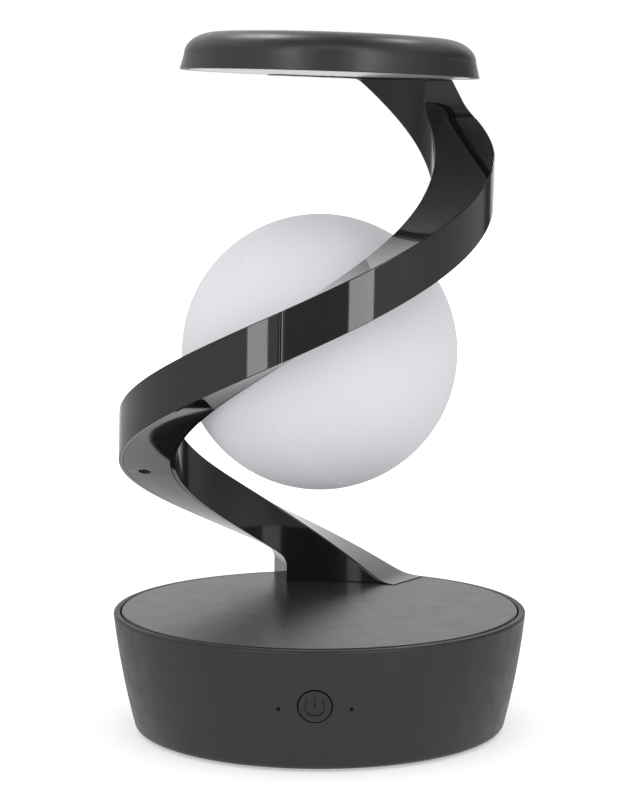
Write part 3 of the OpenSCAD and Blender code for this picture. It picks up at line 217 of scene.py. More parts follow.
def arm_out(a):
    free = mix(ARM_R_LOW + ARM_W_LOW, ARM_R_HIGH + ARM_W_HIGH, arm_narrow(a))
    return mix(mix(free, FOOT_OUT_R, arm_tuck(a)), HEAD_TUCK_R, head_tuck(a))


def arm_mid(a):
    return (arm_in(a) + arm_out(a)) / 2


def arc_len(first, last):
    return math.radians(last - first) * arm_mid(last)


def place(r, a, z):
    """The point in metres at a radius, angle and height of the leaning band."""
    turn = math.radians(a)
    return Vector((r * math.sin(turn) + ARM_LEAN * (z - PLATE_Z), -r * math.cos(turn), z)) * MM


def head_level(r, a):
    """Height of the tilted head's underside."""
    return HEAD_Z - r * math.sin(math.radians(a)) * math.tan(math.radians(HEAD_TILT))


def arm_low(r, a):
    """Lower edge of the band: flat on the plate, up a wall, then along the climb to the head."""
    if a < FOOT_WALL_A:
        return PLATE_Z
    level = head_level(r, a) - HEAD_FLANGE
    lowest = arm_bot(a) - fillet(arc_len(FOOT_WALL_A, a), FOOT_FILLET)
    return level - soft(level - lowest, HEAD_EASE)


def arm_rise(a):
    """Upper edge of the climb, which leaves the plate softly."""
    return PLATE_Z + soft(arm_top(a) - PLATE_Z, FOOT_EASE)


def arm_high(r, a):
    """Upper edge of the band: the climb, then up a wall to the head's underside."""
    if a > HEAD_WALL_A:
        return head_level(r, a) - SEAT_GAP
    return arm_rise(a) + fillet(arc_len(a, HEAD_WALL_A), HEAD_FILLET)


def out_at(a, z):
    """The band's outer radius, which slopes in to a pad under the head."""
    pad = HEAD_PAD_R + max(0.0, head_level(arm_out(a), a) - z) * HEAD_PAD_SLOPE
    return min(arm_out(a), pad)


def shoulder(a):
    """Height at which the outer side starts to slope in."""
    return head_level(arm_out(a), a) - (arm_out(a) - HEAD_PAD_R) / HEAD_PAD_SLOPE


def arm_roof(r, a):
    """Top of the band's hollow."""
    lowest = arm_low(r, a) + ROOF_REST
    if a >= ROOF_END_A:
        return lowest
    high = arm_high(r, a) if a > HEAD_WALL_A + ROOF_LAG else arm_rise(a)
    return max(lowest, high - ARM_ROOF_T)


# Mesh tools

EDGE_SHARE = 0.4
SUPPORT = 0.06
SUPPORT_SHARE = 0.05
ROUND_STEPS = 4
SHARP_ANGLE = 32.0
MERGE = 0.0001 * MM


def rounded(corners):
    """A closed outline of (r, z, radius) corners; a corner with radius above 0 becomes a soft edge."""
    points = []
    count = len(corners)
    for i, (r, z, radius) in enumerate(corners):
        here = Vector((r, z))
        if radius <= 0:
            points.append(here)
            continue
        before = Vector(corners[i - 1][:2]) - here
        after = Vector(corners[(i + 1) % count][:2]) - here
        shorter = min(before.length, after.length)
        reach = min(radius, shorter * EDGE_SHARE)
        support = reach + min(SUPPORT, shorter * SUPPORT_SHARE)
        back = before.normalized()
        onward = after.normalized()
        points.append(here + back * support)
        for t in span(0, 1, ROUND_STEPS):
            points.append(here + back * (reach * (1 - t) ** 2) + onward * (reach * t**2))
        points.append(here + onward * support)
    return points


def inset(points, depth):
    """A closed outline moved inwards by a depth."""
    count = len(points)
    area = sum(p.x * q.y - q.x * p.y for p, q in zip(points, points[1:] + points[:1]))
    side = depth if area > 0 else -depth
    moved = []
    for i, point in enumerate(points):
        along = points[(i + 1) % count] - points[i - 1]
        moved.append(point + Vector((-along.y, along.x)).normalized() * side)
    return moved


def mesh_of(name, points, faces):
    mesh = bpy.data.meshes.new(name)
    mesh.from_pydata(points, [], faces)
    return mesh


def ring_faces(rings, size, closed=False):
    """Faces between neighbouring rings of points; closed joins the last ring to the first."""
    faces = []
    for k in range(rings if closed else rings - 1):
        here = k * size
        there = (k + 1) % rings * size
        for i in range(size):
            j = (i + 1) % size
            faces.append((here + i, there + i, there + j, here + j))
    return faces


def tube(name, rings):
    """A closed body through rings of points, with a face over each end."""
    size = len(rings[0])
    last = (len(rings) - 1) * size
    faces = ring_faces(len(rings), size)
    faces.append(tuple(range(size)))
    faces.append(tuple(last + i for i in reversed(range(size))))
    return mesh_of(name, [point for ring in rings for point in ring], faces)


def lathe(name, profile, steps, matrix):
    """A closed outline of (r, z) turned about Z, then placed by a matrix."""
    points = []
    for k in range(steps):
        turn = 2 * math.pi * k / steps
        for r, z in profile:
            points.append(matrix @ (Vector((r * math.cos(turn), r * math.sin(turn), z)) * MM))
    return mesh_of(name, points, ring_faces(steps, len(profile), closed=True))


def settle(mesh, merge=MERGE):
    """Closes a mesh up, turns its faces outwards and smooths it between its sharp edges."""
    bm = bmesh.new()
    bm.from_mesh(mesh)
    bmesh.ops.remove_doubles(bm, verts=bm.verts, dist=merge)
    bmesh.ops.dissolve_degenerate(bm, edges=bm.edges, dist=merge)
    bmesh.ops.recalc_face_normals(bm, faces=bm.faces)
    bm.to_mesh(mesh)
    bm.free()
    for polygon in mesh.polygons:
        polygon.use_smooth = True
    mesh.set_sharp_from_angle(angle=math.radians(SHARP_ANGLE))
    return mesh


def joined(name, meshes):
    bm = bmesh.new()
    for mesh in meshes:
        bm.from_mesh(mesh)
    result = bpy.data.meshes.new(name)
    bm.to_mesh(result)
    bm.free()
    return result


def carved(mesh, cutter):
    """The mesh with a closed cutter taken away."""
    body = bpy.data.objects.new("carve_body", mesh)
    tool = bpy.data.objects.new("carve_tool", cutter)
    for piece in (body, tool):
        scene.collection.objects.link(piece)
    modifier = body.modifiers.new("carve", "BOOLEAN")
    modifier.operation = "DIFFERENCE"
    modifier.solver = "EXACT"
    modifier.object = tool
    result = bpy.data.meshes.new_from_object(body.evaluated_get(bpy.context.evaluated_depsgraph_get()))
    for piece in (body, tool):
        bpy.data.objects.remove(piece)
    return result


def add_piece(name, mesh, body, slot, *replaced):
    mesh.name = name
    piece = bpy.data.objects.new(name, mesh)
    scene.collection.objects.link(piece)
    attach(piece, body)
    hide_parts(*replaced)
    mesh.materials.clear()
    mesh.materials.append(LOOKS[slot])
    return piece


# Node tools


def add_node(tree, kind, **values):
    """A new node; a value goes to the input of that name, or else to the property of that name."""
    made = tree.nodes.new(kind)
    for key, value in values.items():
        socket = key.replace("_", " ")
        if socket in made.inputs:
            made.inputs[socket].default_value = value
        else:
            setattr(made, key, value)
    return made


def feed(tree, source, socket):
    """Sets a socket to a number, or links it to another node's output."""
    if isinstance(source, float):
        socket.default_value = source
    else:
        tree.links.new(source, socket)


def map_range(tree, value, limits, low=0.0, high=1.0):
    """low to high, as the value goes from the first limit to the second."""
    made = add_node(
        tree,
        "ShaderNodeMapRange",
        From_Min=limits[0],
        From_Max=limits[1],
        To_Min=low,
        To_Max=high,
    )
    feed(tree, value, made.inputs["Value"])
    return made.outputs["Result"]


def calculate(tree, operation, first, second):
    made = add_node(tree, "ShaderNodeMath", operation=operation)
    feed(tree, first, made.inputs[0])
    feed(tree, second, made.inputs[1])
    return made.outputs["Value"]


def switch(tree, flag, off, on):
    """on where the flag is 1, else off; both may be numbers or sockets."""
    made = add_node(tree, "ShaderNodeMix", data_type="FLOAT")
    feed(tree, flag, made.inputs["Factor"])
    feed(tree, off, made.inputs["A"])
    feed(tree, on, made.inputs["B"])
    return made.outputs["Result"]


# Materials, kept by the name of their slot

LOOKS = {}
NOISE_LIMITS = (0.3, 0.7)
GRAIN_DEPTH = 0.03 * MM
RIPPLE_DEPTH = 1.0 * MM
FROST_DEPTH = 0.02 * MM
COPPER_DEPTH = 0.05 * MM
WIRE_DEPTH = 0.2 * MM
MILK = 0.1
MILK_DEPTH = 1.0 * MM
MILK_SPREAD = (1.0, 0.95, 0.9)
# Colour of the painted glow, an emission that brightens the orb's shaded parts
PAINTED_GLOW_COLOR = (0.95, 0.96, 1.0, 1.0)
DRAWN_X = (18.0, 1.0, 1.0)
DRAWN_Y = (1.0, 18.0, 1.0)
DRAWN_Z = (1.0, 1.0, 18.0)
WIPED = (1.0, 1.0, 9.0)


def shade(color, factor):
    return tuple(min(1.0, c * factor) for c in color)


class Look:
    """A principled material whose patterns lie in the object's own space."""

    def __init__(self, name, **sockets):
        material = bpy.data.materials.new(name)
        material.use_nodes = True
        LOOKS[name] = material
        self.tree = material.node_tree
        self.shader = self.tree.nodes["Principled BSDF"]
        self.coord = add_node(self.tree, "ShaderNodeTexCoord").outputs["Object"]
        for key, value in sockets.items():
            self.shader.inputs[key.replace("_", " ")].default_value = value

    def noise(self, scale, detail=3.0, stretch=None):
        made = add_node(self.tree, "ShaderNodeTexNoise", Scale=scale, Detail=detail)
        source = self.coord
        if stretch:
            mapping = add_node(self.tree, "ShaderNodeMapping", Scale=stretch)
            feed(self.tree, self.coord, mapping.inputs["Vector"])
            source = mapping.outputs["Vector"]
        feed(self.tree, source, made.inputs["Vector"])
        return made.outputs["Fac"]

    def tint(self, pattern, color, dark, light, limits=NOISE_LIMITS):
        """Colours the surface from a darker to a lighter shade along a pattern."""
        ramp = add_node(self.tree, "ShaderNodeValToRGB")
        for element, at, factor in zip(ramp.color_ramp.elements, limits, (dark, light)):
            element.position = at
            element.color = (*shade(color, factor), 1.0)
        feed(self.tree, pattern, ramp.inputs["Fac"])
        feed(self.tree, ramp.outputs["Color"], self.shader.inputs["Base Color"])

    def gloss(self, pattern, low, high):
        """Roughness from low to high along a pattern."""
        rough = map_range(self.tree, pattern, NOISE_LIMITS, low, high)
        feed(self.tree, rough, self.shader.inputs["Roughness"])

    def bump(self, pattern, strength, distance):
        made = add_node(self.tree, "ShaderNodeBump", Strength=strength, Distance=distance)
        feed(self.tree, pattern, made.inputs["Height"])
        feed(self.tree, made.outputs["Normal"], self.shader.inputs["Normal"])


def moulded(name, color, rough, grain=1800.0, grain_strength=0.25, vary=0.1, rough_vary=0.05, **sockets):
    """Moulded plastic: a fine grain, soft cloudiness in the colour and uneven gloss."""
    look = Look(name, **sockets)
    look.tint(look.noise(scale=28.0, detail=4.0), color, dark=1 - vary, light=1 + vary)
    look.gloss(look.noise(scale=140.0), low=rough - rough_vary, high=rough + rough_vary)
    look.bump(look.noise(scale=grain, detail=2.0), strength=grain_strength, distance=GRAIN_DEPTH)


def polished(name, color, rough, **sockets):
    """Polished plastic: nearly a mirror, with the slow ripple of a moulding and faint wipe marks."""
    look = Look(name, **sockets)
    look.tint(look.noise(scale=40.0, detail=2.0), color, dark=0.85, light=1.15)
    wipe = look.noise(scale=60.0, detail=5.0, stretch=WIPED)
    look.gloss(wipe, low=rough * 0.8, high=rough * 1.25)
    look.bump(look.noise(scale=55.0, detail=1.0), strength=0.03, distance=RIPPLE_DEPTH)


def frosted(name, color, rough, painted_glow=0.0):
    """Milky white plastic that scatters light under its skin; its glow is painted light, an even emission
    that brightens the shell's shaded parts in place of light through the thin shell.
    """
    look = Look(
        name,
        Subsurface_Weight=MILK,
        Subsurface_Scale=MILK_DEPTH,
        Subsurface_Radius=MILK_SPREAD,
        Emission_Color=PAINTED_GLOW_COLOR,
        Emission_Strength=painted_glow,
    )
    look.tint(look.noise(scale=22.0), color, dark=0.975, light=1.015)
    look.gloss(look.noise(scale=90.0), low=rough * 0.9, high=rough * 1.1)
    look.bump(look.noise(scale=2600.0, detail=2.0), strength=rough * 0.3, distance=FROST_DEPTH)


def metal(name, color, rough, stretch=DRAWN_Z):
    """Drawn or plated metal with fine drawing lines."""
    look = Look(name, Metallic=1.0)
    lines = look.noise(scale=420.0, detail=4.0, stretch=stretch)
    look.tint(lines, color, dark=0.85, light=1.1)
    look.gloss(lines, low=rough - 0.08, high=rough + 0.08)
    look.bump(lines, strength=0.1, distance=GRAIN_DEPTH)


def circuit(name, color):
    """A lacquered circuit board: copper runs show through as lighter lines."""
    look = Look(name)
    runs = add_node(
        look.tree,
        "ShaderNodeTexBrick",
        Scale=160.0,
        Color1=(*color, 1.0),
        Color2=(*shade(color, 0.9), 1.0),
        Mortar=(*shade(color, 1.5), 1.0),
        Mortar_Size=0.06,
    )
    feed(look.tree, look.coord, runs.inputs["Vector"])
    feed(look.tree, runs.outputs["Color"], look.shader.inputs["Base Color"])
    look.gloss(look.noise(scale=200.0), low=0.3, high=0.42)
    look.bump(runs.outputs["Fac"], strength=0.2, distance=COPPER_DEPTH)


def wound(name, color, rough):
    """Flat winding of enamelled wire."""
    look = Look(name, Metallic=1.0, Roughness=rough)
    turns = add_node(look.tree, "ShaderNodeTexWave", wave_type="RINGS", Scale=700.0, Distortion=0.3)
    turns.rings_direction = "Z"
    feed(look.tree, look.coord, turns.inputs["Vector"])
    look.tint(turns.outputs["Fac"], color, dark=0.35, light=1.0, limits=(0.1, 0.6))
    look.bump(turns.outputs["Fac"], strength=0.5, distance=WIRE_DEPTH)


moulded("drum_grey", (0.014, 0.014, 0.0143), rough=0.44, vary=0.06)
moulded(
    "plate_grey",
    (0.02, 0.02, 0.0203),
    rough=0.29,
    grain_strength=0.06,
    vary=0.06,
    rough_vary=0.02,
    Specular_IOR_Level=0.33,
)
moulded("head_grey", (0.021, 0.021, 0.0215), rough=0.35, grain_strength=0.12, vary=0.06, rough_vary=0.03)
moulded("button_grey", (0.012, 0.012, 0.0123), rough=0.42)
polished("arm_black", (0.006, 0.006, 0.0062), rough=0.05)
polished("cover_black", (0.007, 0.007, 0.0072), rough=0.06, Specular_IOR_Level=0.4)
# The orb's glow is painted light that evens out its shading; its colour is kept darker to make up for it
frosted("orb_white", (0.62, 0.624, 0.65), rough=0.55, painted_glow=0.155)
frosted("diffuser_white", (0.52, 0.52, 0.52), rough=0.22)
moulded("foot_rubber", (0.012, 0.012, 0.012), rough=0.75, grain=900.0, grain_strength=0.5)
metal("screw_steel", (0.5, 0.5, 0.51), rough=0.34)
moulded("ballast_iron", (0.14, 0.14, 0.15), rough=0.55, grain=700.0, grain_strength=0.6, Metallic=0.8)
metal("deck_metal", (0.52, 0.53, 0.54), rough=0.38, stretch=DRAWN_X)
metal("motor_steel", (0.55, 0.56, 0.57), rough=0.28)
moulded("acetal_white", (0.72, 0.72, 0.68), rough=0.4, vary=0.03)
moulded("frame_black", (0.025, 0.025, 0.026), rough=0.5)
circuit("board_green", (0.02, 0.12, 0.05))
circuit("board_white", (0.62, 0.63, 0.64))
moulded("led_amber", (0.85, 0.74, 0.34), rough=0.35, vary=0.06)
polished("pipe_smoke", (0.003, 0.003, 0.003), rough=0.3, Specular_IOR_Level=0.1)
metal("socket_steel", (0.5, 0.5, 0.52), rough=0.25, stretch=DRAWN_Y)
moulded("ferrite_dark", (0.03, 0.03, 0.03), rough=0.6, grain=1200.0)
wound("coil_copper", (0.5, 0.2, 0.08), rough=0.3)
moulded("lead_red", (0.25, 0.02, 0.018), rough=0.45)
moulded("lead_blue", (0.03, 0.09, 0.27), rough=0.45)
moulded("lead_yellow", (0.4, 0.24, 0.03), rough=0.45)

for part in frame["record"]["subparts"]:
    node_mesh = nodes[part["node"]].data
    node_mesh.materials.clear()
    node_mesh.materials.append(LOOKS[part["material_slot"]])


# Band arm: sections swept along lists of angles, which jump across each upright wall

JUMP = 0.02

# Degrees left between stretches: next to a fillet, after the roof's wall, and on each side of the roof's end
TURN_GAP = 0.5
LAG_GAP = 1.0
ROOF_BEFORE = 0.1
ROOF_AFTER = 0.04

# Counts of steps along the stretches, across a fillet or a soft end, and around a screw
FOOT_STEPS = 44
LOWER_STEPS = 150
UPPER_STEPS = 118
HEAD_STEPS = 40
HEAD_END_STEPS = 46
COVER_STEPS = 170
FILLET_STEPS = 15
END_STEPS = 3
SCREW_STEPS = 48

# Ends of the rod that cuts a screw's hole
CUT_FROM = -6.0
CUT_TO = PILLAR_H - 1

# Soft edges of the skins, their largest shares of the band's height, and room for the shoulder between them
LIP_EDGE = 0.22
END_EDGE = 0.3
EDGE_OF_HEIGHT = 0.3
LIP_OF_HEIGHT = 0.2
SHOULDER_OVER_LOW = 1.2
SHOULDER_UNDER_HIGH = 1.5
HOLLOW_CLEAR = 0.02


def shell_section(a):
    """Outline of a shell, an open channel: around its outside, then back through its hollow."""
    inner = arm_in(a)
    outer = arm_out(a)
    low = arm_low(inner, a)
    low_r = out_at(a, arm_low(outer, a))
    low_out = arm_low(low_r, a)
    high = arm_high(inner, a)
    high_r = out_at(a, arm_high(outer, a))
    high_out = arm_high(high_r, a)
    edge = min(ARM_EDGE, (high - low) * EDGE_OF_HEIGHT)
    lip = min(LIP_EDGE, (high - low) * LIP_OF_HEIGHT)
    bend = max(shoulder(a), low_out + edge * SHOULDER_OVER_LOW)
    bend = min(bend, high_out - edge * SHOULDER_UNDER_HIGH)
    hollow_in = inner + ARM_WALL
    hollow_out = low_r - ARM_WALL
    hollow_low = arm_low(hollow_out, a)
    roof_r = out_at(a, arm_roof(outer, a)) - ARM_WALL
    roof_out = arm_roof(roof_r, a)
    hollow_bend = min(max(shoulder(a), hollow_low + HOLLOW_CLEAR), roof_out - HOLLOW_CLEAR)
    return rounded(
        [
            (inner, low, lip),
            (inner, high, edge),
            (high_r, high_out, edge),
            (out_at(a, bend), bend, 0),
            (low_r, low_out, lip),
            (hollow_out, hollow_low, 0),
            (out_at(a, hollow_bend) - ARM_WALL, hollow_bend, 0),
            (roof_r, roof_out, 0),
            (hollow_in, arm_roof(hollow_in, a), 0),
            (hollow_in, arm_low(hollow_in, a), 0),
        ]
    )


def cover_section(a):
    """Outline of a cover, which fills the channel's mouth."""
    inner = arm_in(a) + COVER_SIDE
    outer = out_at(a, arm_low(arm_out(a), a)) - COVER_SIDE
    top = max(arm_bot(a), PLATE_Z) + ARM_COVER_T
    return rounded(
        [
            (inner, arm_low(inner, a), LIP_EDGE),
            (inner, top, 0),
            (out_at(a, top) - COVER_SIDE, top, 0),
            (outer, arm_low(outer, a), LIP_EDGE),
        ]
    )


def soft_end(section, a, inwards):
    """Rings that round off a sweep's end; inwards is +1 where the sweep goes on to larger angles."""
    rings = []
    for t in span(0, 90, END_STEPS):
        back = END_EDGE * (1 - math.sin(math.radians(t)))
        depth = END_EDGE * (1 - math.cos(math.radians(t)))
        at = a + inwards * math.degrees(back / arm_mid(a))
        rings.append([place(point.x, at, point.y) for point in inset(section(at), depth)])
    return rings


def swept(name, section, angles, soft_first=False, soft_last=False):
    rings = [[place(point.x, a, point.y) for point in section(a)] for a in angles]
    if soft_first:
        rings[:1] = reversed(soft_end(section, angles[0], 1))
    if soft_last:
        rings[-1:] = soft_end(section, angles[-1], -1)
    return tube(name, rings)


def fillet_angles(wall_a, radius, side):
    """Angles across the fillet at a wall, from the wall away; side is +1 towards larger angles."""
    reach = math.degrees(radius / arm_mid(wall_a))
    shares = [1 - math.sin(math.radians(t)) for t in span(90, 0, FILLET_STEPS)]
    return [wall_a + side * (JUMP + share * reach) for share in shares]


def pillar(screw):
    """The cup around a cover's screw; its lower end lies inside the sloping cover."""
    outline = [
        (SCREW_HOLE_R, 0.0),
        (PILLAR_R, 0.0),
        (PILLAR_R, PILLAR_H),
        (SCREW_PASS_R, PILLAR_H),
        (SCREW_PASS_R, SCREW_SEAT),
        (SCREW_HOLE_R, SCREW_SEAT),
    ]
    cup = lathe("pillar", outline, SCREW_STEPS, Matrix.Translation(screw))
    lean = ARM_LEAN * (screw.z - PLATE_Z * MM)
    for vertex in cup.vertices:
        if vertex.co.z < screw.z + SCREW_SEAT / 2 * MM:
            a = math.degrees(math.atan2(vertex.co.x - lean, -vertex.co.y))
            vertex.co.z = (arm_bot(a) + ARM_COVER_T / 2) * MM
    return cup


def hole_cutter(screw):
    """A rod along a screw's hole."""
    rings = []
    for z in (CUT_FROM, CUT_TO):
        ring = []
        for k in range(SCREW_STEPS):
            turn = 2 * math.pi * k / SCREW_STEPS
            edge = Vector((math.cos(turn) * SCREW_HOLE_R, math.sin(turn) * SCREW_HOLE_R, z))
            ring.append(screw + edge * MM)
        rings.append(ring)
    return settle(tube("cutter", rings))


def arm_cover(name, angles, screw_a, screw_out=0.0):
    """A cover with the hole and the cup of its screw."""
    screw = place(arm_mid(screw_a) + screw_out, screw_a, arm_bot(screw_a))
    skin = carved(settle(swept(name, cover_section, angles)), hole_cutter(screw))
    return settle(joined(name, [skin, pillar(screw)]))


foot_turn = fillet_angles(FOOT_WALL_A, FOOT_FILLET, 1)
head_turn = fillet_angles(HEAD_WALL_A, HEAD_FILLET, -1)[::-1]
lower_end = ARM_SEAM_A - SEAM_GAP_A
upper_start = ARM_SEAM_A + SEAM_GAP_A
foot_run = span(FOOT_END_A, FOOT_WALL_A - JUMP, FOOT_STEPS)
lower_band = span(foot_turn[-1] + TURN_GAP, lower_end, LOWER_STEPS)
upper_band = span(upper_start, head_turn[0] - TURN_GAP, UPPER_STEPS)
lag_a = HEAD_WALL_A + ROOF_LAG
head_run = [HEAD_WALL_A + JUMP, lag_a - JUMP, lag_a + JUMP]
head_run += span(lag_a + LAG_GAP, ROOF_END_A - ROOF_BEFORE, HEAD_STEPS)
head_run += span(ROOF_END_A + ROOF_AFTER, HEAD_END_A, HEAD_END_STEPS)
foot_cover_a = FOOT_WALL_A - math.degrees(ARM_WALL / arm_mid(FOOT_WALL_A))

lower_shell = swept("lower_arm_skin", shell_section, foot_run + foot_turn + lower_band, soft_last=True)
upper_shell = swept("upper_arm_skin", shell_section, upper_band + head_turn + head_run, soft_first=True)
lower_cover = arm_cover(
    "lower_arm_cover_skin",
    [foot_cover_a, FOOT_WALL_A - JUMP] + foot_turn + lower_band,
    LOWER_SCREW_A,
    LOWER_SCREW_OUT,
)
upper_cover = arm_cover("upper_arm_cover_skin", span(upper_start, COVER_END_A, COVER_STEPS), UPPER_SCREW_A)
add_piece("lower_arm_skin", settle(lower_shell), "turntable", "arm_black", "lower_arm_shell")
add_piece("upper_arm_skin", settle(upper_shell), "turntable", "arm_black", "upper_arm_shell")
add_piece("lower_arm_cover_skin", lower_cover, "turntable", "cover_black", "lower_arm_cover")
add_piece("upper_arm_cover_skin", upper_cover, "turntable", "cover_black", "upper_arm_cover")


# Orb: two half shells that meet in a faint seam along a meridian through the stud

# The seam's depth and half width, and its largest half width near the pole in radians
SEAM_DEPTH = 0.17
SEAM_HALF = 0.35
SEAM_TURN_MAX = 0.25
POLE_SHARE = 0.0001
ORB_RINGS = 120
ORB_STEPS = 96
ORB_MERGE = 0.002 * MM
STUD_SEARCH = 60.0
STUD_HALVINGS = 24


def mount_angle():
    """The angle at which the middle of the band passes the height of the orb's centre."""
    low = ARM_SEAM_A - STUD_SEARCH
    high = ARM_SEAM_A
    for _ in range(STUD_HALVINGS):
        a = (low + high) / 2
        if arm_top(a) - ARM_H / 2 < ORB_Z:
            low = a
        else:
            high = a
    return (low + high) / 2


orb_centre = Vector((0, ORB_BACK, ORB_Z))
stud_a = mount_angle()
stud_foot = place(arm_in(stud_a), stud_a, ORB_Z) / MM - orb_centre
stud_turn = math.atan2(stud_foot.x, -stud_foot.y) - math.pi / 2
orb_matrix = (
    Matrix.Translation(orb_centre * MM)
    @ Matrix.Rotation(stud_turn, 4, "Z")
    @ Matrix.Rotation(math.radians(90 - ORB_ROLL), 4, "X")
)


def orb_half(name, side):
    """A half shell from the stud's hole to the far pole; side is +1 for the front and -1 for the rear."""
    rings = []
    for theta in span(math.asin(STUD_HOLE_R / ORB_R), math.pi, ORB_RINGS):
        ring_r = max(math.sin(theta), POLE_SHARE)
        edge = min(SEAM_TURN_MAX, SEAM_HALF / (ORB_R * ring_r))
        turns = [0.0, edge / 2] + span(edge, math.pi - edge, ORB_STEPS) + [math.pi - edge / 2, math.pi]
        ways = []
        for phi in turns:
            ways.append(Vector((math.cos(theta), ring_r * math.cos(phi), side * ring_r * math.sin(phi))))
        outside = [way * ORB_R for way in ways]
        for end in (0, -1):
            outside[end] = ways[end] * (ORB_R - SEAM_DEPTH)
        inside = [way * (ORB_R - ORB_WALL) for way in reversed(ways)]
        rings.append([orb_matrix @ (point * MM) for point in outside + inside])
    size = len(rings[0])
    faces = ring_faces(len(rings), size)
    for k in range(size // 2 - 1):
        faces.append((k, k + 1, size - 2 - k, size - 1 - k))
    return settle(mesh_of(name, [point for ring in rings for point in ring], faces), ORB_MERGE)


add_piece("orb_front_skin", orb_half("orb_front_skin", 1), "turntable", "orb_white", "orb_front_half")
add_piece("orb_rear_skin", orb_half("orb_rear_skin", -1), "turntable", "orb_white", "orb_rear_half")


# Head cap: one smooth curve from the side into the nearly flat top

CAP_OUT_STEPS = 40
CAP_IN_STEPS = 16
CAP_TURN_STEPS = 180
CAP_MERGE = 0.02 * MM
AXIS_R = 0.01

# Soft lower edge of the cap: distance in from the side, and height
CAP_LIP = ((0.35, 0.0), (0.1, 0.08), (0.03, 0.3))


def cap_curve(depth, steps):
    """The cap's outline above its lower edge, a depth inside the skin."""
    middle = HEAD_R - HEAD_SIDE_IN - HEAD_ROUND_W
    round_h = HEAD_H - HEAD_SIDE_H - HEAD_CROWN
    points = []
    for t in span(0, 90, steps):
        across = (HEAD_ROUND_W - depth) * math.cos(math.radians(t))
        up = (round_h - depth) * math.sin(math.radians(t))
        points.append((middle + across, HEAD_SIDE_H + up))
    return points + [(HEAD_FLAT_R, HEAD_H - depth), (AXIS_R, HEAD_H - depth)]


def head_cap():
    outside = [(HEAD_R - across, up) for across, up in CAP_LIP] + cap_curve(0.0, CAP_OUT_STEPS)
    inside = [(HEAD_R - HEAD_WALL, 0.0)] + cap_curve(HEAD_WALL, CAP_IN_STEPS)
    tilt = Matrix.Rotation(math.radians(HEAD_TILT), 4, "Y")
    matrix = Matrix.Translation(Vector((HEAD_X, 0, HEAD_Z)) * MM) @ tilt
    return settle(lathe("head_cap_skin", outside + inside[::-1], CAP_TURN_STEPS, matrix), CAP_MERGE)


add_piece("head_cap_skin", head_cap(), "turntable", "head_grey", "head_cap")


# Stage: a pale floor and a white surround, in which reflections see a studio

# Zones of the studio around the lamp: angle from the front towards +X, and brightness
FLOOR = [
    (-160, 1.0),
    (-150, 0.7),
    (-105, 0.75),
    (-60, 0.95),
    (-14, 0.95),
    (-13, 0.42),
    (30, 0.42),
    (40, 1.0),
    (62, 1.0),
    (80, 0.75),
    (122, 0.72),
    (134, 0.55),
    (142, 0.1),
    (150, 0.1),
    (158, 1.0),
]
HORIZON = [
    (-160, 1.0),
    (-152, 0.22),
    (-120, 0.25),
    (-90, 0.6),
    (-14, 0.65),
    (-13, 0.42),
    (30, 0.42),
    (40, 1.0),
    (62, 1.0),
    (80, 0.7),
    (140, 0.5),
    (150, 0.2),
    (158, 1.0),
]
WALL = [
    (-160, 1.0),
    (-150, 0.7),
    (-105, 0.65),
    (-14, 0.65),
    (-13, 0.25),
    (30, 0.25),
    (40, 0.85),
    (60, 0.75),
    (80, 0.45),
    (95, 0.15),
    (140, 0.1),
    (150, 0.4),
    (158, 1.0),
]
CEILING = [
    (-155, 0.3),
    (-140, 1.0),
    (-75, 0.9),
    (-40, 0.12),
    (40, 0.12),
    (75, 0.8),
    (140, 1.0),
    (155, 0.3),
]
ZENITH = 0.12

# Light of the surround for the camera and for matt surfaces
WHITE = 1.0
AMBIENT = 0.95

# Heights of a direction, as sines of its elevation, over which one zone passes into the next
HORIZON_TO_WALL = (0.03, 0.1)
WALL_TO_CEILING = (0.4, 0.75)
CEILING_TO_ZENITH = (0.84, 0.93)

# Floor in metres, and the distances over which it lifts to white, shows the studio, and shows it undimmed
FLOOR_SIZE = 12.0
FLOOR_DIFFUSE = 0.88
FLOOR_LIFT = 0.4
FLOOR_DIM = 0.65
LIFT_RUN = (0.35, 1.2)
STUDIO_RUN = (0.22, 0.4)
DIM_RUN = (0.5, 1.1)


def around(tree, turn, table):
    """Brightness in a zone of the studio; turn is a share of the whole turn, with the front at a half."""
    ramp = add_node(tree, "ShaderNodeValToRGB")
    while len(ramp.color_ramp.elements) < len(table):
        ramp.color_ramp.elements.new(0.5)
    for element, (at, value) in zip(ramp.color_ramp.elements, table):
        element.position = (at + 180) / 360
        element.color = (value, value, value, 1.0)
    tree.links.new(turn, ramp.inputs["Fac"])
    return ramp.outputs["Color"]


def turn_and_height(tree, direction):
    """The turn of a direction about Z, as a share of the whole turn, and its height."""
    unit = add_node(tree, "ShaderNodeVectorMath", operation="NORMALIZE")
    tree.links.new(direction, unit.inputs[0])
    axes = add_node(tree, "ShaderNodeSeparateXYZ")
    tree.links.new(unit.outputs["Vector"], axes.inputs["Vector"])
    front = calculate(tree, "MULTIPLY", axes.outputs["Y"], -1.0)
    angle = calculate(tree, "ARCTAN2", axes.outputs["X"], front)
    return map_range(tree, angle, (-math.pi, math.pi)), axes.outputs["Z"]


def studio(tree, direction):
    """Brightness of the studio above the floor in a direction."""
    turn, height = turn_and_height(tree, direction)
    raised = map_range(tree, height, HORIZON_TO_WALL)
    wall = switch(tree, raised, around(tree, turn, HORIZON), around(tree, turn, WALL))
    overhead = map_range(tree, height, CEILING_TO_ZENITH)
    ceiling = switch(tree, overhead, around(tree, turn, CEILING), ZENITH)
    return switch(tree, map_range(tree, height, WALL_TO_CEILING), wall, ceiling)


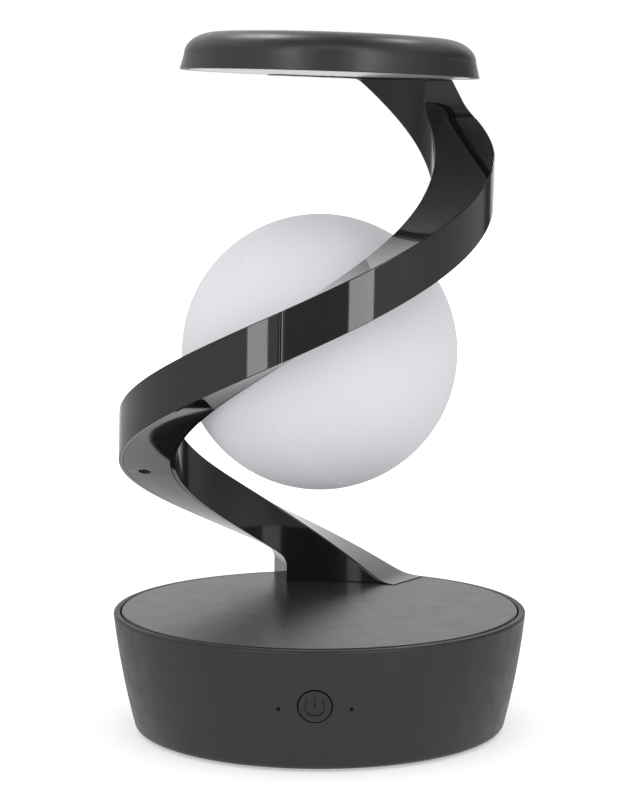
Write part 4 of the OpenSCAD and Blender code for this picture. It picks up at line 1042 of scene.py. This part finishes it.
def make_surround():
    """A world that is white to the camera, even to matt surfaces and a studio to glossy ones."""
    world = bpy.data.worlds.new("studio")
    scene.world = world
    world.use_nodes = True
    tree = world.node_tree
    rays = add_node(tree, "ShaderNodeLightPath").outputs
    direction = add_node(tree, "ShaderNodeTexCoord").outputs["Generated"]
    level = switch(tree, rays["Is Glossy Ray"], AMBIENT, studio(tree, direction))
    level = switch(tree, rays["Is Transmission Ray"], level, WHITE)
    level = switch(tree, rays["Is Camera Ray"], level, WHITE)
    background = tree.nodes["Background"]
    background.inputs["Color"].default_value = (1.0, 1.0, 1.0, 1.0)
    tree.links.new(level, background.inputs["Strength"])


def floor_look():
    """A floor that keeps the shadow near the lamp, is white far away, and reflects as a studio's floor."""
    material = bpy.data.materials.new("pale_floor")
    material.use_nodes = True
    tree = material.node_tree
    tree.nodes.remove(tree.nodes["Principled BSDF"])
    rays = add_node(tree, "ShaderNodeLightPath").outputs
    spot = add_node(tree, "ShaderNodeTexCoord").outputs["Object"]
    length = add_node(tree, "ShaderNodeVectorMath", operation="LENGTH")
    tree.links.new(spot, length.inputs[0])
    away = length.outputs["Value"]

    grey = (FLOOR_DIFFUSE, FLOOR_DIFFUSE, FLOOR_DIFFUSE, 1.0)
    diffuse = add_node(tree, "ShaderNodeBsdfDiffuse", Color=grey)
    lift = add_node(tree, "ShaderNodeEmission")
    lifted = map_range(tree, away, LIFT_RUN, FLOOR_LIFT, WHITE)
    feed(tree, switch(tree, rays["Is Camera Ray"], 0.0, lifted), lift.inputs["Strength"])
    seen = add_node(tree, "ShaderNodeAddShader")
    tree.links.new(diffuse.outputs["BSDF"], seen.inputs[0])
    tree.links.new(lift.outputs["Emission"], seen.inputs[1])

    turn, _ = turn_and_height(tree, spot)
    dim = map_range(tree, away, DIM_RUN, FLOOR_DIM, WHITE)
    dimmed = calculate(tree, "MULTIPLY", around(tree, turn, FLOOR), dim)
    mirrored = add_node(tree, "ShaderNodeEmission")
    shown = switch(tree, map_range(tree, away, STUDIO_RUN), FLOOR_DIFFUSE, dimmed)
    feed(tree, shown, mirrored.inputs["Strength"])

    choice = add_node(tree, "ShaderNodeMixShader")
    tree.links.new(rays["Is Glossy Ray"], choice.inputs["Fac"])
    tree.links.new(seen.outputs["Shader"], choice.inputs[1])
    tree.links.new(mirrored.outputs["Emission"], choice.inputs[2])
    tree.links.new(choice.outputs["Shader"], tree.nodes["Material Output"].inputs["Surface"])
    return material


def make_floor():
    half = FLOOR_SIZE / 2
    corners = [(-half, -half, 0), (half, -half, 0), (half, half, 0), (-half, half, 0)]
    floor_mesh = mesh_of("floor", corners, [(0, 1, 2, 3)])
    floor = bpy.data.objects.new("floor", floor_mesh)
    scene.collection.objects.link(floor)
    floor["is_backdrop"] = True
    floor_mesh.materials.append(floor_look())


make_surround()
make_floor()


# Soft boxes, in metres and degrees

AIM_Z = 0.12
AIM_HEAD_Z = 0.22

# Upright strips beside the camera, each with a low and a high part: side, azimuth, width and radiance
STRIPS = (("right", 31.5, 0.25, 5.6), ("left", -29.0, 0.2, 5.0))
STRIP_DISTANCE = 0.95
STRIP_LOW_H = 0.2
STRIP_LOW_Z = 0.1
STRIP_HIGH_H = 1.0
STRIP_HIGH_Z = 0.7
STRIP_HIGH_SHARE = 0.7


def soft_box(name, azimuth, distance, centre_z, width, height, radiance, aim_z=AIM_Z):
    """A flat lamp that faces the lamp's axis; azimuth counts from the front towards +X."""
    light = bpy.data.lights.new(name, "AREA")
    light.shape = "RECTANGLE"
    light.size = width
    light.size_y = height
    light.energy = math.pi * radiance * width * height
    box = bpy.data.objects.new(name, light)
    scene.collection.objects.link(box)
    turn = math.radians(azimuth)
    box.location = (distance * math.sin(turn), -distance * math.cos(turn), centre_z)
    aim = Vector((0, 0, aim_z)) - box.location
    box.rotation_euler = aim.to_track_quat("-Z", "Y").to_euler()
    box.visible_camera = False
    return box


mirrored_boxes = []
for side, azimuth, width, radiance in STRIPS:
    low = soft_box(
        side + "_low",
        azimuth=azimuth,
        distance=STRIP_DISTANCE,
        centre_z=STRIP_LOW_Z,
        width=width,
        height=STRIP_LOW_H,
        radiance=radiance,
        aim_z=STRIP_LOW_Z,
    )
    high = soft_box(
        side + "_high",
        azimuth=azimuth,
        distance=STRIP_DISTANCE,
        centre_z=STRIP_HIGH_Z,
        width=width,
        height=STRIP_HIGH_H,
        radiance=radiance * STRIP_HIGH_SHARE,
        aim_z=STRIP_HIGH_Z,
    )
    mirrored_boxes += [low, high]

front_soft = soft_box(
    "front_soft",
    azimuth=-12.0,
    distance=1.1,
    centre_z=0.36,
    width=1.2,
    height=0.6,
    radiance=0.6,
)
front_low = soft_box(
    "front_low",
    azimuth=-12.0,
    distance=0.6,
    centre_z=0.045,
    width=1.2,
    height=0.08,
    radiance=1.5,
)
top_left = soft_box(
    "top_left",
    azimuth=-152.0,
    distance=0.57,
    centre_z=1.05,
    width=0.25,
    height=0.3,
    radiance=9.0,
    aim_z=AIM_HEAD_Z,
)
top_right = soft_box(
    "top_right",
    azimuth=150.0,
    distance=0.62,
    centre_z=1.0,
    width=0.1,
    height=0.06,
    radiance=40.0,
    aim_z=AIM_HEAD_Z,
)
top_front = soft_box(
    "top_front",
    azimuth=4.0,
    distance=0.62,
    centre_z=1.05,
    width=0.8,
    height=0.45,
    radiance=1.0,
)
mirrored_boxes += [top_left, top_right, top_front]

# The front boxes light the lamp and leave no mirror image; all the others only show as mirror images
for box in mirrored_boxes:
    box.visible_diffuse = False
for box in (front_soft, front_low):
    box.visible_glossy = False


# Camera at the photograph's viewing angle, in metres and degrees; its lens and sensor are in millimetres

CAMERA_AT = (0.01734, -0.818461, 0.20452)
CAMERA_PITCH = 83.549
CAMERA_TURN = 1.2
CAMERA_LENS = 109.81
CAMERA_SENSOR = 36.0
CAMERA_NEAR = 0.01

camera_data = bpy.data.cameras.new("photo_camera")
camera_data.sensor_fit = "AUTO"
camera_data.sensor_width = CAMERA_SENSOR
camera_data.lens = CAMERA_LENS
camera_data.clip_start = CAMERA_NEAR
camera = bpy.data.objects.new("photo_camera", camera_data)
scene.collection.objects.link(camera)
camera.location = CAMERA_AT
camera.rotation_euler = (math.radians(CAMERA_PITCH), 0.0, math.radians(CAMERA_TURN))
scene.camera = camera
scene.view_settings.view_transform = "Standard"

boxes = {"cad": cad_box, "visual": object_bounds()}
{key: [list(corner) for corner in corners] for key, corners in boxes.items()}
